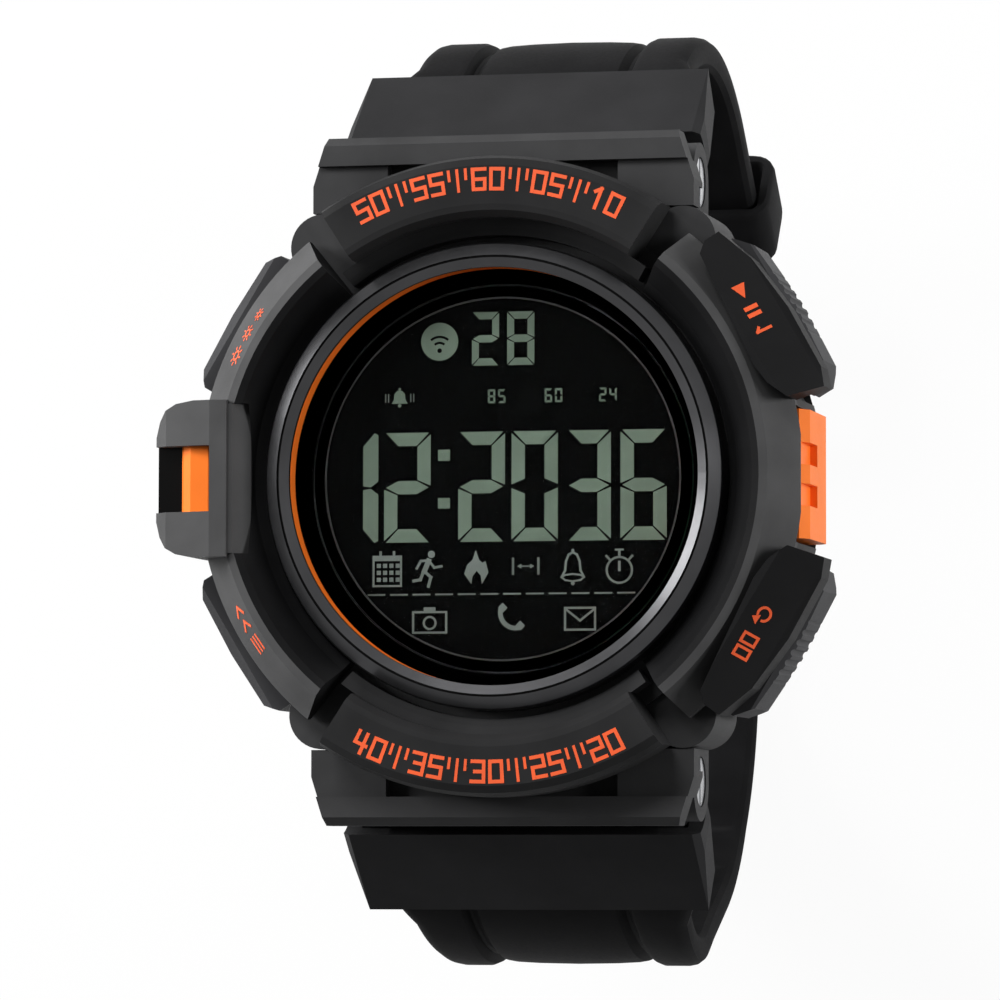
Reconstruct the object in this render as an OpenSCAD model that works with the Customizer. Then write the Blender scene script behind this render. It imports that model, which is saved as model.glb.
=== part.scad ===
/* [Case] */
// Height of the case back above the surface that the watch stands on
case_lift = 60; // [58:0.5:64]
// Radius of the mid case drum
case_r = 22.5; // [22.2:0.1:23]
// Height of the drum's flat top above the case back
case_top = 10.7; // [10.5:0.1:11.2]
// Radius of the cavity that holds the module
cavity_r = 16.1; // [15.9:0.1:16.3]
// Top of the flank above the case back
flank_top = 10.2; // [9.8:0.1:10.3]
// Half angle of each flank, from the 3 and 9 o'clock axes
flank_half_angle = 57; // [56:0.5:58]
// How far the shoulder posts stand outside the side guards
shoulder_out = 2; // [1:0.1:2.4]
// Width of a shoulder post
shoulder_w = 5.6; // [4.6:0.2:6.4]
// Angle of the shoulder posts from the 3 and 9 o'clock axes
shoulder_angle = 52; // [50:1:54]
// Radius of the case back
back_r = 20.1; // [19.9:0.1:20.3]
// Thickness of the case back plate
back_t = 1.2; // [1:0.1:1.4]
// Radius of the case back's raised middle
back_boss_r = 15.4; // [12:0.2:16]
// Radius of the circle of case back screws
back_screw_pitch_r = 18.7; // [18.5:0.1:18.8]

/* [Window] */
// Radius of the lens
lens_r = 17.6; // [17.4:0.1:17.7]
// Thickness of the lens
lens_t = 1.5; // [1.2:0.1:1.8]
// Radius of the visible display
display_r = 15; // [14:0.2:15.2]
// Outer radius of the polished bezel ring
ring_r = 19.3; // [19.1:0.1:19.4]
// Height of the bezel ring's crest above the case back
ring_top = 14.2; // [13.8:0.1:14.6]
// Wall of the orange accent ring
accent_wall = 0.4; // [0.3:0.05:0.5]

/* [Guards] */
// Height of the side guards' crest above the case back
guard_crest = 15; // [14.4:0.1:15.6]
// Outer radius of the side guards
guard_r = 25.6; // [25.2:0.1:26]
// Width of the side guards' outer slope
guard_slope = 3.1; // [2.8:0.1:3.4]
// Height of the side guards' outer edge
guard_edge = 11.9; // [11.5:0.1:12.4]
// Half angle of the side guards
guard_half_angle = 51; // [48:1:52]

/* [Label plates] */
// Inner radius of a label plate
plate_in_r = 21.3; // [21:0.1:21.6]
// Outer radius of a label plate
plate_r = 26.4; // [26:0.1:26.8]
// Height of a label plate above the case back
plate_top = 15.4; // [14.8:0.1:16]
// Half angle of a label plate
plate_half_angle = 33; // [30:1:34]
// Half angle of the step under a label plate
step_half_angle = 37; // [36:0.5:38]

/* [Lugs] */
// Distance of each lug bar from the centre of the case
bar_y = 25; // [24.6:0.1:25.4]
// Height of the lug bars above the case back
bar_h = 3.9; // [3.6:0.1:4.2]
// Radius of a lug bar
bar_r = 1.2; // [1:0.05:1.3]
// Half of the gap between the two ears of a lug
ear_gap_half = 12; // [11.6:0.1:12.4]
// Thickness of an ear
ear_t = 3.6; // [3.2:0.1:3.8]
// Radius of an ear round its bar
ear_r = 3.3; // [3:0.1:3.5]
// Half width of a lug cover
cover_half_w = 16.2; // [15.8:0.1:16.6]
// Distance of a lug cover's outer edge from the centre
cover_edge_y = 28.7; // [28.5:0.1:29]
// Height of a lug cover's underside
cover_base = 7.7; // [7.6:0.1:8]
// Height of a lug cover's face
cover_top = 10.6; // [10.3:0.1:10.8]

/* [Buttons] */
// Height of the button stems above the case back
stem_h = 4.2; // [4:0.1:4.4]
// Radius of a button stem
stem_r = 0.7; // [0.6:0.05:0.8]
// Travel of a button
button_travel = 0.9; // [0.6:0.1:1]
// Angle of the corner buttons from the 3 and 9 o'clock axes
button_angle = 31; // [30:0.5:32]
// Outer face of the ribbed buttons from the centre
ribbed_r = 28.2; // [27.8:0.1:28.4]
// Thickness of a ribbed button's head
ribbed_t = 3; // [2.8:0.1:3.2]
// Half length of the ribbed buttons
ribbed_half_l = 7; // [6.6:0.1:7.2]
// Outer face of the plain buttons from the centre
plain_r = 27.8; // [27.4:0.1:28.1]
// Thickness of a plain button's head
plain_t = 2.9; // [2.7:0.1:3.1]
// Half length of the plain buttons
plain_half_l = 6.4; // [6:0.1:6.8]
// Outer face of the select button from the centre
select_r = 25.9; // [25.6:0.1:26.2]
// Thickness of the select button's head
select_t = 1.9; // [1.7:0.1:2]
// Half length of the select button
select_half_l = 5.3; // [5:0.1:5.6]

/* [Strap] */
// Half width of the strap where it leaves the lug
strap_half_w = 14; // [13.4:0.1:14.4]
// Half width of the strap at its ends
strap_end_half_w = 11; // [10.6:0.1:11.4]
// Half width of the lower strap's tail
tail_half_w = 9; // [8.6:0.2:9.6]
// Thickness of the strap
strap_t = 2.8; // [2.4:0.1:3.2]
// Half width of the strap's first link
link_half_w = 15.3; // [14.8:0.1:15.8]
// Length of the straight stretch from the lug bar
root_l = 14; // [13.5:0.25:14.5]
// Slope of the straight stretch under the horizontal
root_slope = 50; // [48:1:53]
// Radius of the bend beside the wrist
side_bend_r = 22; // [21:0.5:23]
// Slope of the strap below that bend, under the horizontal
side_slope = 105; // [103:1:107]
// Slope of the upper strap's straight stretch, under the horizontal
upper_slope = 130; // [127:1:133]
// Length of the upper strap's straight stretch that carries the keeper
keeper_run = 16.5; // [15.5:0.5:17.5]
// Radius of the upper strap's last bend
buckle_bend_r = 12; // [11:0.5:13]
// Slope at the upper strap's end, under the horizontal
buckle_slope = 165; // [160:1:168]
// Radius of the lower strap's bend under the wrist
floor_bend_r = 24; // [22:0.5:25]
// Length of the flat tail that lies on the surface
tail_l = 15.6; // [14.6:0.2:16]
// Spacing of the strap holes
hole_pitch = 5; // [4:0.5:5]
// Number of strap holes in the flat tail
hole_count = 3; // [2:1:3]
// Radius of a strap hole
hole_r = 1.1; // [0.9:0.1:1.3]

/* [Buckle] */
// Radius of the buckle bar
buckle_bar_r = 0.9; // [0.7:0.05:1]
// Length of the buckle frame from its bar to its cross bar
buckle_l = 10; // [9:0.5:10.5]
// Width of the buckle frame's side arms
buckle_arm_w = 2; // [1.6:0.1:2.2]
// Thickness of the buckle frame
buckle_t = 2; // [1.6:0.1:2.4]
// Distance of the keeper below the start of its straight stretch
keeper_s = 11; // [10.5:0.5:12]
// Width of the keeper band
keeper_w = 6.5; // [5.5:0.5:7]
// Wall of the keeper
keeper_wall = 1.1; // [1:0.1:1.4]

/* [Module] */
// Radius of the coin cell
cell_r = 10; // [8:0.5:10]
// Thickness of the coin cell
cell_t = 3.2; // [2:0.2:3.2]
// Height of the circuit board's underside above the case back
board_h = 5.9; // [5.8:0.1:6]
// Thickness of the circuit board
board_t = 0.8; // [0.6:0.1:1]
// Radius of the circuit board and the module frame
module_r = 15.6; // [15.3:0.1:15.7]

/* [Hidden] */
$fn = 72;
CASE_NODES = ["case_body", "case_back", "case_back_gasket", "case_back_screws", "lens", "lens_gasket",
    "bezel_ring", "accent_ring", "dial_mask", "lcd_panel", "backlight_panel", "module_frame",
    "zebra_connectors", "circuit_board", "board_chips", "satellite_antenna", "battery", "battery_clip",
    "piezo_buzzer", "buzzer_spring", "button_switches", "button_seals", "left_guard", "right_guard",
    "upper_plate", "lower_plate", "start_cover", "reset_cover", "side_bracket", "bracket_inlay",
    "upper_lug_cover", "lower_lug_cover", "lug_bars", "lug_screws"];
STRAP_NODES = ["strap_upper", "strap_lower", "upper_link", "lower_link", "strap_keeper",
    "buckle_bar", "buckle_frame", "buckle_tongue"];
BUTTON_NODES = ["start_button", "reset_button", "select_button", "light_button", "mode_button",
    "start_clip", "reset_clip", "select_clip", "light_clip", "mode_clip"];

clear = 0.1;
run = 0.3;
eps = 0.02;
lap = 0.4;
lens_ledge = 9.6;
gasket_t = 0.4;
lens_z = lens_ledge + gasket_t;
lens_top = lens_z + lens_t;
mask_t = 0.3;
lcd_t = 1.2;
lcd_z = lens_z - mask_t - lcd_t;
backlight_t = 0.9;
backlight_z = lcd_z - backlight_t;
board_top = board_h + board_t;
cell_z = board_h - clear - cell_t;
clip_t = 0.3;
floor_in = back_t;
// Each button: its angle, the inner face of its head and the floor of its pocket
head_gap = run + button_travel;
ribbed_in = ribbed_r - ribbed_t;
plain_in = plain_r - plain_t;
select_in = select_r - select_t;
head_low = 1.7;
head_high = 8.7;
stem_end = 15;
seal_r = 1.3;
seal_l = 1.2;
eclip_r = 1.4;
eclip_t = 0.4;
eclip_out = cavity_r - 0.2;
switch_in = 12.2;
switch_face = stem_end - button_travel - 0.05;
switch_half_w = 1.6;
shoulder_top = 11.4;
knuckle_r = 2.5;
root_half_w = ear_gap_half - run;
bar_z = case_lift + bar_h;
h2 = strap_t / 2;
corner_angles = [button_angle, -button_angle, 180 - button_angle, 180 + button_angle];
flank_r = guard_r - 0.1;
shoulder_r = guard_r + shoulder_out;
guard_in_r = ring_r + run;
guard_crest_r = guard_r - guard_slope;
button_angles = [button_angle, -button_angle, 0, 180 - button_angle, 180 + button_angle];
buttons = [[button_angle, ribbed_in], [-button_angle, ribbed_in], [0, select_in], [180 - button_angle, plain_in],
    [180 + button_angle, plain_in]];

module at_case() { translate([0, 0, case_lift]) children(); }
module disc(r, z0, z1) { translate([0, 0, z0]) cylinder(r = r, h = z1 - z0, $fn = 144); }
module ring(ro, ri, z0, z1) {
    difference() { disc(ro, z0, z1); disc(ri, z0 - 1, z1 + 1); }
}
module slab(x0, x1, y0, y1, z0, z1) { translate([x0, y0, z0]) cube([x1 - x0, y1 - y0, z1 - z0]); }
module wedge(half, r, z0, z1) {
    translate([0, 0, z0]) linear_extrude(height = z1 - z0)
        polygon([[0, 0], [r, -r * tan(half)], [r, r * tan(half)]]);
}
module spoke(r, x0, x1, z, n = 36) { translate([x0, 0, z]) rotate([0, 90, 0]) cylinder(r = r, h = x1 - x0, $fn = n); }
module arc_band(profile, half) {
    rotate(-half) rotate_extrude(angle = 2 * half, $fn = 144) polygon(profile);
}
module xbar(r, y, z, x0, x1, n = 48) { translate([x0, y, z]) rotate([0, 90, 0]) cylinder(r = r, h = x1 - x0, $fn = n); }
// A profile of points (y, z) drawn across X from x0 to x1
module across(x0, x1, pts) {
    translate([x0, 0, 0]) rotate([90, 0, 90]) linear_extrude(height = x1 - x0) polygon(pts);
}
module both_lugs() { children(); mirror([0, 1, 0]) children(); }
module both_sides() { children(); mirror([1, 0, 0]) children(); }

// Ears that carry one lug bar, on the 12 o'clock side
module ears() {
    both_sides() difference() {
        union() {
            xbar(ear_r, bar_y, bar_h, ear_gap_half, ear_gap_half + ear_t, 64);
            slab(ear_gap_half, ear_gap_half + ear_t, 12, bar_y, bar_h - ear_r, cover_base);
            slab(ear_gap_half, ear_gap_half + ear_t, bar_y - 1, bar_y + 0.5, bar_h, cover_base);
        }
        xbar(bar_r, bar_y, bar_h, 0, 30, 48);
        xbar(2.1, bar_y, bar_h, ear_gap_half + ear_t - 1, 30, 48);
    }
}

module pocket(head, half, z0, z1) { slab(head - head_gap, 40, -half, half, z0, z1); }

module case_body() color([0.1, 0.1, 0.11]) at_case() difference() {
    union() {
        disc(case_r, 0, case_top);
        for (a = [0, 180]) rotate(a) intersection() {
            union() {
                disc(flank_r, 1.4, flank_top);
                translate([0, 0, 0.2]) cylinder(r1 = flank_r - 1.2, r2 = flank_r, h = 1.2, $fn = 144);
            }
            wedge(flank_half_angle, 45, 0, 20);
        }
        for (a = [shoulder_angle, -shoulder_angle, 180 - shoulder_angle, 180 + shoulder_angle])
            intersection() {
                rotate(a) {
                    slab(15, shoulder_r - shoulder_w / 2, -shoulder_w / 2, shoulder_w / 2, 1, flank_top + 0.05);
                    translate([shoulder_r - shoulder_w / 2, 0, 1]) cylinder(r = shoulder_w / 2, h = flank_top - 0.95, $fn = 48);
                }
                slab(-40, 40, 2.2 - bar_y, bar_y - 2.2, 0, 20);
            }
        both_lugs() ears();
    }
    disc(cavity_r, back_t, case_top + 1);
    disc(back_r + clear, -1, back_t);
    disc(lens_r + clear, lens_ledge, case_top + 1);
    both_lugs() xbar(knuckle_r + run, bar_y, bar_h, -ear_gap_half, ear_gap_half, 64);
    both_lugs() slab(-ear_gap_half, ear_gap_half, bar_y - 1, 40, -1, cover_base);
    for (b = buttons) rotate(b[0]) {
        spoke(stem_r + 0.05, 10, 40, stem_h);
        spoke(seal_r + 0.05, b[1] - head_gap - seal_l - run, 40, stem_h);
    }
    for (a = [button_angle, -button_angle]) rotate(a) pocket(ribbed_in, ribbed_half_l + run, 1.3, head_high + run);
    for (a = [180 - button_angle, 180 + button_angle]) rotate(a) pocket(plain_in, plain_half_l + run, 1.3, head_high + run);
    pocket(select_in, select_half_l + run, 1.3, flank_top + 1);
    for (a = [45:90:315]) rotate(a) translate([back_screw_pitch_r, 0, -1]) cylinder(r = 0.5, h = 6, $fn = 32);
}

module case_back() color([0.62, 0.63, 0.65]) at_case() difference() {
    union() {
        disc(back_r, 0, back_t);
        translate([0, 0, -0.5]) cylinder(r1 = back_boss_r - 0.5, r2 = back_boss_r, h = 0.5, $fn = 144);
        ring(cavity_r - 0.15, cavity_r - 1, back_t, back_t + 0.3);
    }
    ring(cavity_r + 1.2, cavity_r + 0.3, back_t - 0.4, back_t + 1);
    for (a = [45:90:315]) rotate(a) translate([back_screw_pitch_r, 0, 0]) {
        translate([0, 0, -1]) cylinder(r = 0.6, h = 4, $fn = 32);
        translate([0, 0, -1]) cylinder(r = 1.15, h = 1.6, $fn = 32);
    }
}

module case_back_gasket() color([0.05, 0.05, 0.05]) at_case()
    ring(cavity_r + 1.15, cavity_r + 0.35, back_t - 0.4, back_t);

module case_back_screws() color([0.7, 0.7, 0.72]) at_case()
    for (a = [45:90:315]) rotate(a) translate([back_screw_pitch_r, 0, 0]) difference() {
        union() {
            translate([0, 0, 0.05]) cylinder(r = 1.1, h = 0.55, $fn = 32);
            translate([0, 0, 0.3]) cylinder(r = 0.48, h = 4, $fn = 32);
        }
        slab(-2, 2, -0.15, 0.15, -1, 0.3);
    }

module lens() color([0.6, 0.65, 0.7]) at_case() disc(lens_r, lens_z, lens_top);

module lens_gasket() color([0.05, 0.05, 0.05]) at_case()
    ring(lens_r, cavity_r + 0.1, lens_ledge, lens_z);

module bezel_ring() color([0.16, 0.16, 0.17]) at_case() rotate_extrude($fn = 144)
    polygon([[lens_r + 0.15, case_top], [ring_r, case_top], [ring_r, ring_top - 0.9], [ring_r - 0.15, ring_top - 0.6],
        [ring_r - 1.1, ring_top], [ring_r - 1.12, ring_top - 0.2], [lens_r + 0.42, ring_top - 0.2], [lens_r + 0.4, ring_top],
        [lens_r - lip, ring_top - 0.42],
        [lens_r - lip, ring_top - 0.85], [lens_r + 0.15, ring_top - 0.85]]);
lip = 0.35;

module accent_ring() color([1, 0.45, 0.12]) at_case()
    ring(lens_r + 0.1, lens_r + 0.1 - accent_wall, lens_top, ring_top - 0.9);

module dial_mask() color([0.02, 0.02, 0.02]) at_case()
    ring(cavity_r - 0.1, display_r, lens_z - mask_t, lens_z);

module lcd_panel() color([0.12, 0.14, 0.12]) at_case() disc(module_r - 0.1, lcd_z, lcd_z + lcd_t);

module backlight_panel() color([0.9, 0.92, 0.9]) at_case() difference() {
    disc(module_r - 0.4, backlight_z, lcd_z);
    both_lugs() slab(-9, 9, 12, 20, 0, 20);
}

module zebra_connectors() color([0.75, 0.55, 0.6]) at_case()
    both_lugs() slab(-8, 8, 12.4, 13.3, board_top, lcd_z);

module circuit_board() color([0.1, 0.35, 0.2]) at_case() difference() {
    disc(module_r, board_h, board_top);
    translate([0, -12.8, 0]) cylinder(r = 0.5, h = 20, $fn = 32);
}

module board_chips() color([0.08, 0.08, 0.09]) at_case() {
    slab(-4, 3, -3, 4, board_top, backlight_z);
    slab(5, 9, -2, 2, board_top, backlight_z);
    slab(-9, -6, -6, -3, board_top, backlight_z);
    slab(-2, 1, -9, -6, board_top, backlight_z);
}

module satellite_antenna() color([0.8, 0.75, 0.62]) at_case() intersection() {
    ring(module_r - 0.4, module_r - 2.4, board_top, backlight_z);
    rotate(90 + 66) wedge(20, 20, 0, 20);
}

module module_frame() color([0.85, 0.85, 0.83]) at_case() difference() {
    disc(module_r, floor_in + 1.2, board_h);
    disc(cell_r + 0.15, 0, 20);
    for (a = button_angles) rotate(a) slab(switch_in - 0.1, 20, -2, 2, 0, 20);
    translate([0, 12.8, 0]) cylinder(r = 1, h = 20, $fn = 32);
    slab(-3.1, 3.1, -14.6, 12, 0, cell_z);
}

module battery() color([0.78, 0.79, 0.8]) at_case() {
    disc(cell_r, cell_z, cell_z + cell_t - 0.4);
    disc(cell_r - 1.2, cell_z + cell_t - 0.4, cell_z + cell_t + clear);
}

module battery_clip() color([0.8, 0.7, 0.4]) at_case() {
    slab(-3, 3, -14.5, 11.4, cell_z - clip_t, cell_z);
    slab(-1, 1, 11.4, 11.9, cell_z - clip_t, cell_z);
}

module piezo_buzzer() color([0.85, 0.7, 0.35]) at_case()
    translate([0, 5.4, 0]) disc(9, floor_in, floor_in + 0.5);

module buzzer_spring() color([0.8, 0.8, 0.8]) at_case() translate([0, 12.8, 0]) ring(0.8, 0.5, floor_in + 0.5, board_h);

module button_switches() color([0.2, 0.2, 0.2]) at_case()
    for (a = button_angles) rotate(a)
        slab(switch_in, switch_face, -switch_half_w, switch_half_w, stem_h - 1.2, board_h);

module button_seals() color([0.05, 0.05, 0.05]) at_case()
    for (b = buttons) rotate(b[0]) difference() {
        spoke(seal_r, b[1] - head_gap - seal_l, b[1] - head_gap - 0.05, stem_h);
        spoke(stem_r + 0.03, b[1] - 8, b[1] + 5, stem_h);
    }

guard_profile = [[guard_in_r, case_top], [guard_in_r, guard_crest - 2.8], [guard_in_r + 0.8, guard_crest - 2.2],
    [guard_crest_r - 0.6, guard_crest - 0.2], [guard_crest_r, guard_crest], [guard_crest_r + 0.7, guard_crest - 0.2],
    [guard_r - 0.4, guard_edge + 0.3], [guard_r, guard_edge - 0.2], [guard_r, case_top]];

// Outline of a cover seen from above, in the frame of its button
cover_in = guard_crest_r + 1;
cover_out = guard_r + 2.2;
cover_plan = [[cover_in + 0.8, 6.2], [cover_in - 0.1, -4], [cover_in + 0.1, -5.8], [cover_in + 0.9, -7.6],
    [cover_out - 0.6, -8.2], [cover_out, -6.6], [cover_out + 0.2, -1], [cover_out - 0.3, 4],
    [cover_out - 1.4, 7.2], [cover_in + 1.6, 7]];

// A profile of points (x, z) drawn across Y from y0 to y1
module across_y(y0, y1, pts) {
    translate([0, y1, 0]) rotate([90, 0, 0]) linear_extrude(height = y1 - y0) polygon(pts);
}

module left_guard() color([0.12, 0.12, 0.13]) at_case() rotate(180) difference() {
    arc_band(guard_profile, guard_half_angle);
    slab(bracket_in - 0.02, 40, -bracket_half - 0.02, bracket_half + 0.02, 0, 20);
    slab(tab_in - 0.02, 40, -tab_half - 0.02, tab_half + 0.02, tab_z, 20);
}

module right_guard() color([0.12, 0.12, 0.13]) at_case() difference() {
    arc_band(guard_profile, guard_half_angle);
    slab(select_in + 1.4, 40, -select_half_l - run, select_half_l + run, 0, 20);
    slab(select_in - head_gap, 40, -select_half_l - run, select_half_l + run, 0, flank_top + 1.15 + run);
    rotate(button_angle) cover_void();
    mirror([0, 1, 0]) rotate(button_angle) cover_void();
}

module cover_void() translate([0, 0, case_top - 1]) linear_extrude(height = 9) polygon(cover_plan);

module cover_solid() difference() {
    intersection() {
        cover_void_tall();
        across_y(-10, 10, [[20, case_top], [flank_r + 0.2, case_top], [flank_r + 0.2, head_high + 0.6], [32, head_high + 0.6],
            [32, guard_edge - 1.2], [cover_out - 0.4, guard_edge + 0.9], [cover_in + 0.6, guard_crest + 0.1], [20, guard_crest + 0.3]]);
    }
}
module cover_void_tall() translate([0, 0, 8]) linear_extrude(height = 10) polygon(cover_plan);

module start_cover() color([0.05, 0.05, 0.055]) at_case() rotate(button_angle) cover_solid();
module reset_cover() color([0.05, 0.05, 0.055]) at_case() mirror([0, 1, 0]) rotate(button_angle) cover_solid();

bracket_in = guard_crest_r - 0.3;
tab_in = bracket_in - 1.6;
tab_half = 6.2;
tab_z = guard_crest - 3;
bracket_out = guard_r + 3.1;
bracket_half = 6.5;
window_half = 2.75;
window_in = bracket_in + 1.4;
inlay_out = window_in + 3;

module side_bracket() color([0.1, 0.1, 0.11]) at_case() rotate(180) difference() {
    union() {
        across_y(-tab_half, tab_half, [[tab_in, tab_z], [bracket_in + 0.5, tab_z], [bracket_in + 0.5, guard_crest + 0.2],
            [bracket_in - 0.4, guard_crest], [tab_in, guard_crest - 1.6]]);
        bracket_bar();
    }
    slab(window_in, inlay_out, -window_half, window_half, case_top + 0.6, 20);
    slab(inlay_out - 0.1, 40, -window_half, window_half, guard_crest - 2.1, 20);
}

module bracket_bar() intersection() {
    across_y(-bracket_half, bracket_half, [[bracket_in, case_top], [flank_r + 0.2, case_top], [flank_r + 0.2, case_top - 4.1],
        [bracket_out, case_top - 4.1], [bracket_out, guard_crest - 1.4], [bracket_out - 1.1, guard_crest - 0.4],
        [bracket_in + 1.4, guard_crest + 0.6], [bracket_in, guard_crest + 0.4]]);
    linear_extrude(height = 20) for (k = [0, 1]) mirror([0, k, 0]) polygon([[bracket_in, -0.1], [bracket_in, bracket_half],
        [bracket_out - 3.6, bracket_half], [bracket_out - 2, bracket_half - 0.25], [bracket_out - 1, bracket_half - 0.8],
        [bracket_out - 0.4, bracket_half - 1.7], [bracket_out, bracket_half - 3], [bracket_out, -0.1]]);
}

module bracket_inlay() color([1, 0.45, 0.12]) at_case() rotate(180)
    across_y(-window_half, window_half, [[window_in, case_top + 0.6], [inlay_out, case_top + 0.6], [inlay_out, guard_crest - 1.9],
        [inlay_out - 0.4, guard_crest - 1], [inlay_out - 1.1, guard_crest - 0.5], [window_in + 0.4, guard_crest - 0.5],
        [window_in, guard_crest - 0.7]]);

module plate() {
    rotate(90) arc_band([[plate_in_r, case_top], [plate_in_r, plate_top - 0.6], [plate_in_r + 0.5, plate_top - 0.1],
        [plate_in_r + 1, plate_top], [plate_r - 0.9, plate_top], [plate_r - 0.3, plate_top - 0.4], [plate_r, plate_top - 1.2],
        [plate_r, case_top]], plate_half_angle);
    rotate(90) arc_band([[guard_in_r + 0.4, case_top], [guard_in_r + 0.4, 12.6], [guard_in_r + 1, 13], [plate_in_r, 13.4],
        [plate_in_r, case_top]], step_half_angle);
}
module upper_plate() color([0.05, 0.05, 0.055]) at_case() plate();
module lower_plate() color([0.05, 0.05, 0.055]) at_case() mirror([0, 1, 0]) plate();

cover_in_y = 22.4;
cover_rim_y = cover_edge_y - 2.4;
module lug_cover() difference() {
    union() {
        intersection() {
            across(-cover_half_w, cover_half_w, [[14, cover_base], [cover_edge_y, cover_base], [cover_edge_y, cover_top - 0.7],
                [cover_edge_y - 0.7, cover_top], [14, cover_top]]);
            linear_extrude(height = 20) polygon([[-cover_half_w, 40], [-cover_half_w, cover_in_y], [-12.7, cover_in_y], [-12.7, 15],
                [12.7, 15], [12.7, cover_in_y], [cover_half_w, cover_in_y], [cover_half_w, 40]]);
        }
        both_sides() slab(ear_gap_half + ear_t + 0.05, cover_half_w, 24.2, cover_edge_y - 0.8, bar_h + 2.4, cover_base + 0.5);
    }
    both_sides() linear_extrude(height = 20) polygon([[cover_half_w + 0.3, cover_edge_y - 5], [cover_half_w + 5, cover_edge_y - 5],
        [cover_half_w + 5, cover_edge_y + 1], [cover_half_w - 1.6, cover_edge_y + 1]]);
    slab(-cover_half_w - 1, cover_half_w + 1, 15, cover_rim_y, cover_top - 0.5, 20);
    slab(-9.8, 9.8, 15, cover_rim_y, cover_base + 1, 20);
    disc(case_r + 0.02, 0, 20);
    for (a = [shoulder_angle, 180 - shoulder_angle]) intersection() {
        rotate(a) {
            slab(15, shoulder_r - shoulder_w / 2, -shoulder_w / 2 - 0.02, shoulder_w / 2 + 0.02, 0, 20);
            translate([shoulder_r - shoulder_w / 2, 0, 0]) cylinder(r = shoulder_w / 2 + 0.02, h = 20, $fn = 48);
        }
        slab(-40, 40, 0, bar_y - 2.18, 0, 20);
    }
    disc(plate_r + 0.02, cover_top, 20);
}
module upper_lug_cover() color([0.1, 0.1, 0.11]) at_case() lug_cover();
module lower_lug_cover() color([0.1, 0.1, 0.11]) at_case() mirror([0, 1, 0]) lug_cover();

module lug_bars() color([0.75, 0.75, 0.77]) at_case()
    both_lugs() xbar(bar_r - 0.02, bar_y, bar_h, -ear_gap_half - ear_t + 1.6, ear_gap_half + ear_t - 1.6);

module lug_screws() color([0.75, 0.75, 0.77]) at_case()
    both_lugs() both_sides() difference() {
        union() {
            xbar(bar_r - 0.05, bar_y, bar_h, ear_gap_half + ear_t - 1.6, ear_gap_half + ear_t - 0.4);
            xbar(2.05, bar_y, bar_h, ear_gap_half + ear_t - 0.98, ear_gap_half + ear_t - 0.1);
        }
        slab(ear_gap_half + ear_t - 0.5, 40, bar_y - 3, bar_y + 3, bar_h - 0.25, bar_h + 0.25);
    }

// Strap path in (y, z), from the lug bar outward and down
function dir(a) = [cos(a), sin(a)];
p0 = [bar_y, bar_z];
p1 = p0 + root_l * dir(-root_slope);
c1 = p1 + side_bend_r * dir(-root_slope - 90);
p2 = c1 + side_bend_r * dir(90 - side_slope);
p2u = c1 + side_bend_r * dir(90 - upper_slope);
p3u = p2u + keeper_run * dir(-upper_slope);
c2u = p3u + buckle_bend_r * dir(-upper_slope - 90);
p4u = c2u + buckle_bend_r * dir(90 - buckle_slope);
floor_drop = h2 + floor_bend_r * (1 + cos(side_slope));
lower_run = (p2[1] - floor_drop) / sin(side_slope);
p3l = p2 + lower_run * dir(-side_slope);
c2l = p3l + floor_bend_r * dir(-side_slope - 90);
p4l = c2l + [0, -floor_bend_r];

full_s = 4.1;
link_s = 4.4;
link_t = 1.6;
w = strap_half_w + 0.5;
// Cross-section (x, n), n is outward from the loop
function section(f) = [[-w, -h2 * f], [w, -h2 * f], [w, h2 * f], [-w, h2 * f]];

module run_straight(p, a, s0, s1) {
    translate([0, p[0], p[1]]) rotate([-a - 90, 0, 0]) translate([0, 0, s0]) linear_extrude(height = s1 - s0) children();
}
module run_arc(c, r, a0, a1) {
    translate([0, c[0], c[1]]) rotate([90, 0, 90]) rotate([0, 0, a0]) rotate_extrude(angle = a1 - a0, $fn = 144)
        polygon([for (q = section(1)) [r + q[1], q[0]]]);
}
module bar(r, p, x0, x1, n = 48) { xbar(r, p[0], p[1], x0, x1, n); }

module strap_start(slope) {
    run_straight(p0, root_slope, full_s, root_l + lap) polygon(section(-1));
    run_arc(c1, side_bend_r, 90 - slope, 90 - root_slope);
}
module strap_root() {
    run_straight(p0, root_slope, 1.6, full_s + 0.5) square([2 * root_half_w - 0.2, strap_t], center = true);
    bar(knuckle_r, p0, -root_half_w, root_half_w, 64);
}
module taper(end_z, keep_z0) translate([0, 60, 0]) rotate([90, 0, 0]) linear_extrude(height = 120)
    polygon([[-strap_half_w, bar_z + 5], [-strap_half_w, p1[1] + 1.6], [-keep_half, p1[1] - 3], [-keep_half, keep_z0],
        [-strap_end_half_w, end_z], [-strap_end_half_w, -5], [strap_end_half_w, -5],
        [strap_end_half_w, end_z], [keep_half, keep_z0], [keep_half, p1[1] - 3],
        [strap_half_w, p1[1] + 1.6], [strap_half_w, bar_z + 5]]);
module lower_taper() translate([0, 60, 0]) rotate([90, 0, 0]) linear_extrude(height = 120) {
    polygon([[0, bar_z + 5], [-strap_half_w, bar_z + 5], [-strap_half_w, p1[1] + 1.6], [-keep_half, p1[1] - 3],
        [-tail_half_w - 1.2, p1[1] - 24], [-tail_half_w - 0.4, p1[1] - 36], [-tail_half_w, 8], [-tail_half_w, -5],
        [tail_half_w, -5], [tail_half_w, 8], [tail_half_w + 0.4, p1[1] - 36], [tail_half_w + 1.2, p1[1] - 24],
        [keep_half, p1[1] - 3], [strap_half_w, p1[1] + 1.6], [strap_half_w, bar_z + 5]]);
}
keep_half = (strap_half_w + strap_end_half_w) / 2 - 0.5;
buckle_knuckle = h2 + 0.6;

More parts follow.
